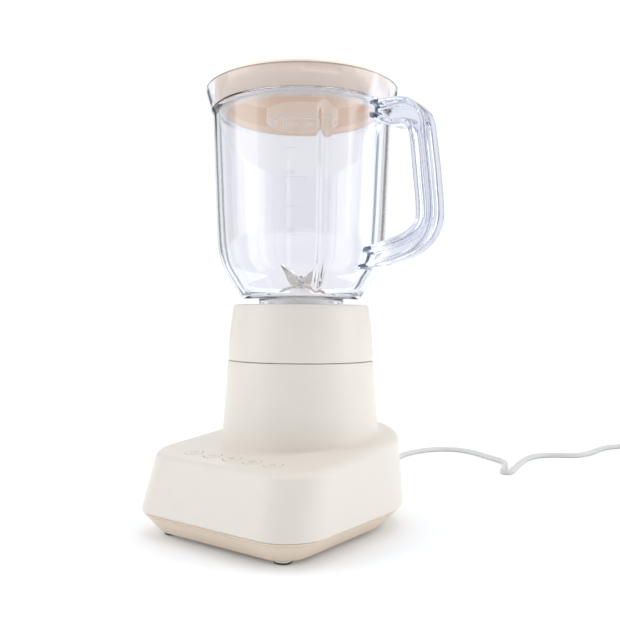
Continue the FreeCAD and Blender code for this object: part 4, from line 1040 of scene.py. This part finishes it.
cap = lathe("filler_cap_shell", [(0, 318.6), (20.2, 318.6, 1.4), (21.0, 317.0), (21.0, 289.2, 0.5), (23.4, 289.2, 0.6), (23.4, 316.2), (23.6, 317.1), (27.5, 317.1, 0.4), (27.6, 319.4, 1.0), (26.0, 320.6, 1.8), (18.0, 320.9, 6.0), (0, 321.15)],
            M["cap_plastic"], "cap", step=2.5, replaces=["filler_cap"])

# ------------------------------------------------------------------ blade unit
hub = lathe("hub_shell", [(4.6, 141.2, 0.2), (11.95, 141.2, 0.4), (11.95, 146.1), (24.35, 146.1, 0.5), (24.35, 161.5, 0.6), (22.8, 163.8, 1.2), (15.0, 164.4, 3.0), (8.6, 165.0, 0.8), (7.2, 169.6, 0.9), (4.6, 169.6, 0.3)],
            M["hub_plastic"], "blade_unit", seg=120, step=2.0, replaces=["blade_hub"])


def blade(name, z0, th, span, root, tip, rise, flat, angle, sweep, replaces):
    """Pressed two-armed blade: round middle, bent arms, ground leading edges, pointed tips"""
    slope = math.atan2(rise, span - flat)
    verts_all, faces_all = [], []
    for side in (0, 1):
        rings_ = []
        n = 26
        L = math.hypot(span - flat, rise) + flat
        for k in range(n + 1):
            s = L * k / n
            bend = smooth01(flat - 1.6, flat + 1.6, s) * slope
            if s <= flat:
                x, z = s, 0.0
            else:
                x, z = flat + (s - flat) * math.cos(slope), (s - flat) * math.sin(slope)
            t = k / n
            lead = -(root / 2) + (root / 2 - tip * 0.1) * smooth01(0.35, 1.0, t) + sweep * t * t
            trail = root / 2 - (root / 2 - tip * 0.25) * smooth01(0.55, 1.0, t) ** 1.4 + sweep * t * t
            if t > 0.985:
                lead = trail - 0.25
            ground = min(2.2, max(0.0, (trail - lead) * 0.55)) * smooth01(0.25, 0.42, t)
            nx, nz = -math.sin(bend), math.cos(bend)
            pts = [(x, lead, z), (x, trail, z), (x + nx * th, trail, z + nz * th), (x + nx * th, lead + ground, z + nz * th), (x + nx * th * (1 - 0.88 * smooth01(0.25, 0.42, t)), lead, z + nz * th * (1 - 0.88 * smooth01(0.25, 0.42, t)))]
            rings_.append(pts)
        v, f = loops("", rings_, None, None, close=False, raw=True)
        if side:
            v = [(-a, -b, c) for a, b, c in v]
        k = len(verts_all)
        verts_all += v
        faces_all += [tuple(i + k for i in t2) for t2 in f]
    ca, sa = math.cos(math.radians(angle)), math.sin(math.radians(angle))
    verts_all = [(a * ca - b * sa, a * sa + b * ca, c + z0) for a, b, c in verts_all]
    o = make(name, verts_all, faces_all, M["stainless_steel"], "blades", 24, replaces)
    return o


blade("blade_low", 171.2, 1.2, 23.0, 8.6, 4.0, -6.0, 7.0, -13.0, 1.6, ["lower_blade"])
blade("blade_up", 172.9, 1.2, 22.0, 9.0, 4.2, 13.0, 6.0, 90.0, -1.8, ["upper_blade"])
nut_rings = []
for z, k in ((175.05, 0.94), (175.35, 1.0), (177.5, 1.0), (177.85, 0.9)):
    nut_rings.append([(4.4 * k * math.cos(TAU * j / 6), 4.4 * k * math.sin(TAU * j / 6), z) for j in range(6)])
nut = loops("nut", nut_rings, M["stainless_steel"], "blades", close=False, angle=20, weighted=False)
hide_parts("blade_nut")

# ------------------------------------------------------------------ floor and light
floor_m = bpy.data.materials.new("floor")
floor_m.use_nodes = True
nt = floor_m.node_tree
p = nt.nodes["Principled BSDF"]
tn = node(nt, "ShaderNodeTexNoise")
tn.inputs["Scale"].default_value = 3.0
rp = node(nt, "ShaderNodeValToRGB")
rp.color_ramp.elements[0].color, rp.color_ramp.elements[1].color = (0.915, 0.938, 0.962, 1), (0.925, 0.948, 0.972, 1)
nt.links.new(tn.outputs["Fac"], rp.inputs[0])
nt.links.new(rp.outputs[0], p.inputs["Base Color"])
p.inputs["Roughness"].default_value = 0.85
p.inputs["Specular IOR Level"].default_value = 0.15
p.inputs["Emission Color"].default_value = (1, 1, 1, 1)
gc = node(nt, "ShaderNodeTexCoord")
gl = node(nt, "ShaderNodeVectorMath", operation="LENGTH")
nt.links.new(gc.outputs["Object"], gl.inputs[0])
far = node(nt, "ShaderNodeMapRange", interpolation_type="SMOOTHSTEP")
far.inputs["From Min"].default_value, far.inputs["From Max"].default_value = 0.45, 1.4
far.inputs["To Min"].default_value, far.inputs["To Max"].default_value = 0.10, 0.45
nt.links.new(gl.outputs["Value"], far.inputs["Value"])
# painted contact shadow: the floor's emission falls to 0.4 of its value within 6 cm of the floor's origin, back to full
# by 13 cm, darkening the floor beneath the base
painted_contact_shadow = node(nt, "ShaderNodeMapRange", interpolation_type="SMOOTHSTEP")
painted_contact_shadow.inputs["From Min"].default_value, painted_contact_shadow.inputs["From Max"].default_value = 0.06, 0.13
painted_contact_shadow.inputs["To Min"].default_value, painted_contact_shadow.inputs["To Max"].default_value = 0.4, 1.0
nt.links.new(gl.outputs["Value"], painted_contact_shadow.inputs["Value"])
em = node(nt, "ShaderNodeMath", operation="MULTIPLY")
nt.links.new(far.outputs[0], em.inputs[0])
nt.links.new(painted_contact_shadow.outputs[0], em.inputs[1])
nt.links.new(em.outputs[0], p.inputs["Emission Strength"])
me = bpy.data.meshes.new("floor")
me.from_pydata([(-9, -9, 0), (9, -9, 0), (9, 9, 0), (-9, 9, 0)], [], [(0, 1, 2, 3)])
me.materials.append(floor_m)
floor = bpy.data.objects.new("floor", me)
floor.location.z = -0.0002
scene.collection.objects.link(floor)

world = bpy.data.worlds.new("studio")
scene.world = world
world.use_nodes = True
wn = world.node_tree
bg = wn.nodes["Background"]
tc = node(wn, "ShaderNodeTexCoord")
dot = node(wn, "ShaderNodeVectorMath", operation="DOT_PRODUCT")
dot.inputs[1].default_value = look
wn.links.new(tc.outputs["Generated"], dot.inputs[0])
side = node(wn, "ShaderNodeVectorMath", operation="DOT_PRODUCT")
side.inputs[1].default_value = (look.y, -look.x, 0)
wn.links.new(tc.outputs["Generated"], side.inputs[0])
turn = node(wn, "ShaderNodeMath", operation="ARCTAN2")
wn.links.new(side.outputs["Value"], turn.inputs[0])
wn.links.new(dot.outputs["Value"], turn.inputs[1])
size = node(wn, "ShaderNodeMath", operation="ABSOLUTE")
wn.links.new(turn.outputs[0], size.inputs[0])
mr = node(wn, "ShaderNodeMapRange")
mr.inputs["From Min"].default_value, mr.inputs["From Max"].default_value = 0.0, math.pi
wn.links.new(size.outputs[0], mr.inputs["Value"])
ramp = node(wn, "ShaderNodeValToRGB")
stops = [(0, 1.04), (25, 1.04), (28, 0.12), (35, 0.12), (39, 1.02), (62, 1.02), (70, 0.35), (80, 0.35), (90, 1.32), (122, 1.32), (148, 0.20), (180, 0.10)]
els = ramp.color_ramp.elements
while len(els) > 1:
    els.remove(els[-1])
for k, (deg, val) in enumerate(stops):
    e = els[0] if k == 0 else els.new(deg / 180.0)
    e.position = deg / 180.0
    e.color = (val * (0.97 if val < 0.9 else 1), val * (0.985 if val < 0.9 else 1), val, 1)
wn.links.new(mr.outputs[0], ramp.inputs[0])
sep = node(wn, "ShaderNodeSeparateXYZ")
wn.links.new(tc.outputs["Generated"], sep.inputs[0])
up = node(wn, "ShaderNodeMapRange", interpolation_type="SMOOTHSTEP")
up.inputs["From Min"].default_value, up.inputs["From Max"].default_value = 0.40, 0.80
wn.links.new(sep.outputs["Z"], up.inputs["Value"])
sky = node(wn, "ShaderNodeMix", data_type="RGBA")
wn.links.new(up.outputs[0], sky.inputs["Factor"])
wn.links.new(ramp.outputs[0], sky.inputs["A"])
sky.inputs["B"].default_value = (0.86, 0.86, 0.87, 1)
wn.links.new(sky.outputs["Result"], bg.inputs["Color"])
bg.inputs["Strength"].default_value = 1.0


def softbox(name, loc, target, size, power, color=(1, 1, 1)):
    d = bpy.data.lights.new(name, "AREA")
    d.shape = "RECTANGLE"
    d.size, d.size_y = size
    d.energy = power
    d.color = color
    o = bpy.data.objects.new(name, d)
    o.location = loc
    o.rotation_mode = "QUATERNION"
    o.rotation_quaternion = (Vector(target) - Vector(loc)).to_track_quat("-Z", "Y")
    scene.collection.objects.link(o)
    return o


right = Vector((look.y, -look.x, 0))
softbox("left", tuple(-right * 1.3 - look * 0.35 + Vector((0, 0, 0.75))), (0, 0, 0.15), (0.9, 1.2), 3.6)
softbox("right", tuple(right * 1.3 - look * 0.25 + Vector((0, 0, 0.70))), (0, 0, 0.15), (0.9, 1.2), 5.0)
softbox("top", (0.0, 0.15, 1.7), (0, 0.1, 0), (1.5, 1.5), 6.0)

scene.cycles.max_bounces = 20
scene.cycles.transmission_bounces = 20
scene.view_settings.view_transform = "Standard"
scene.view_settings.look = "None"
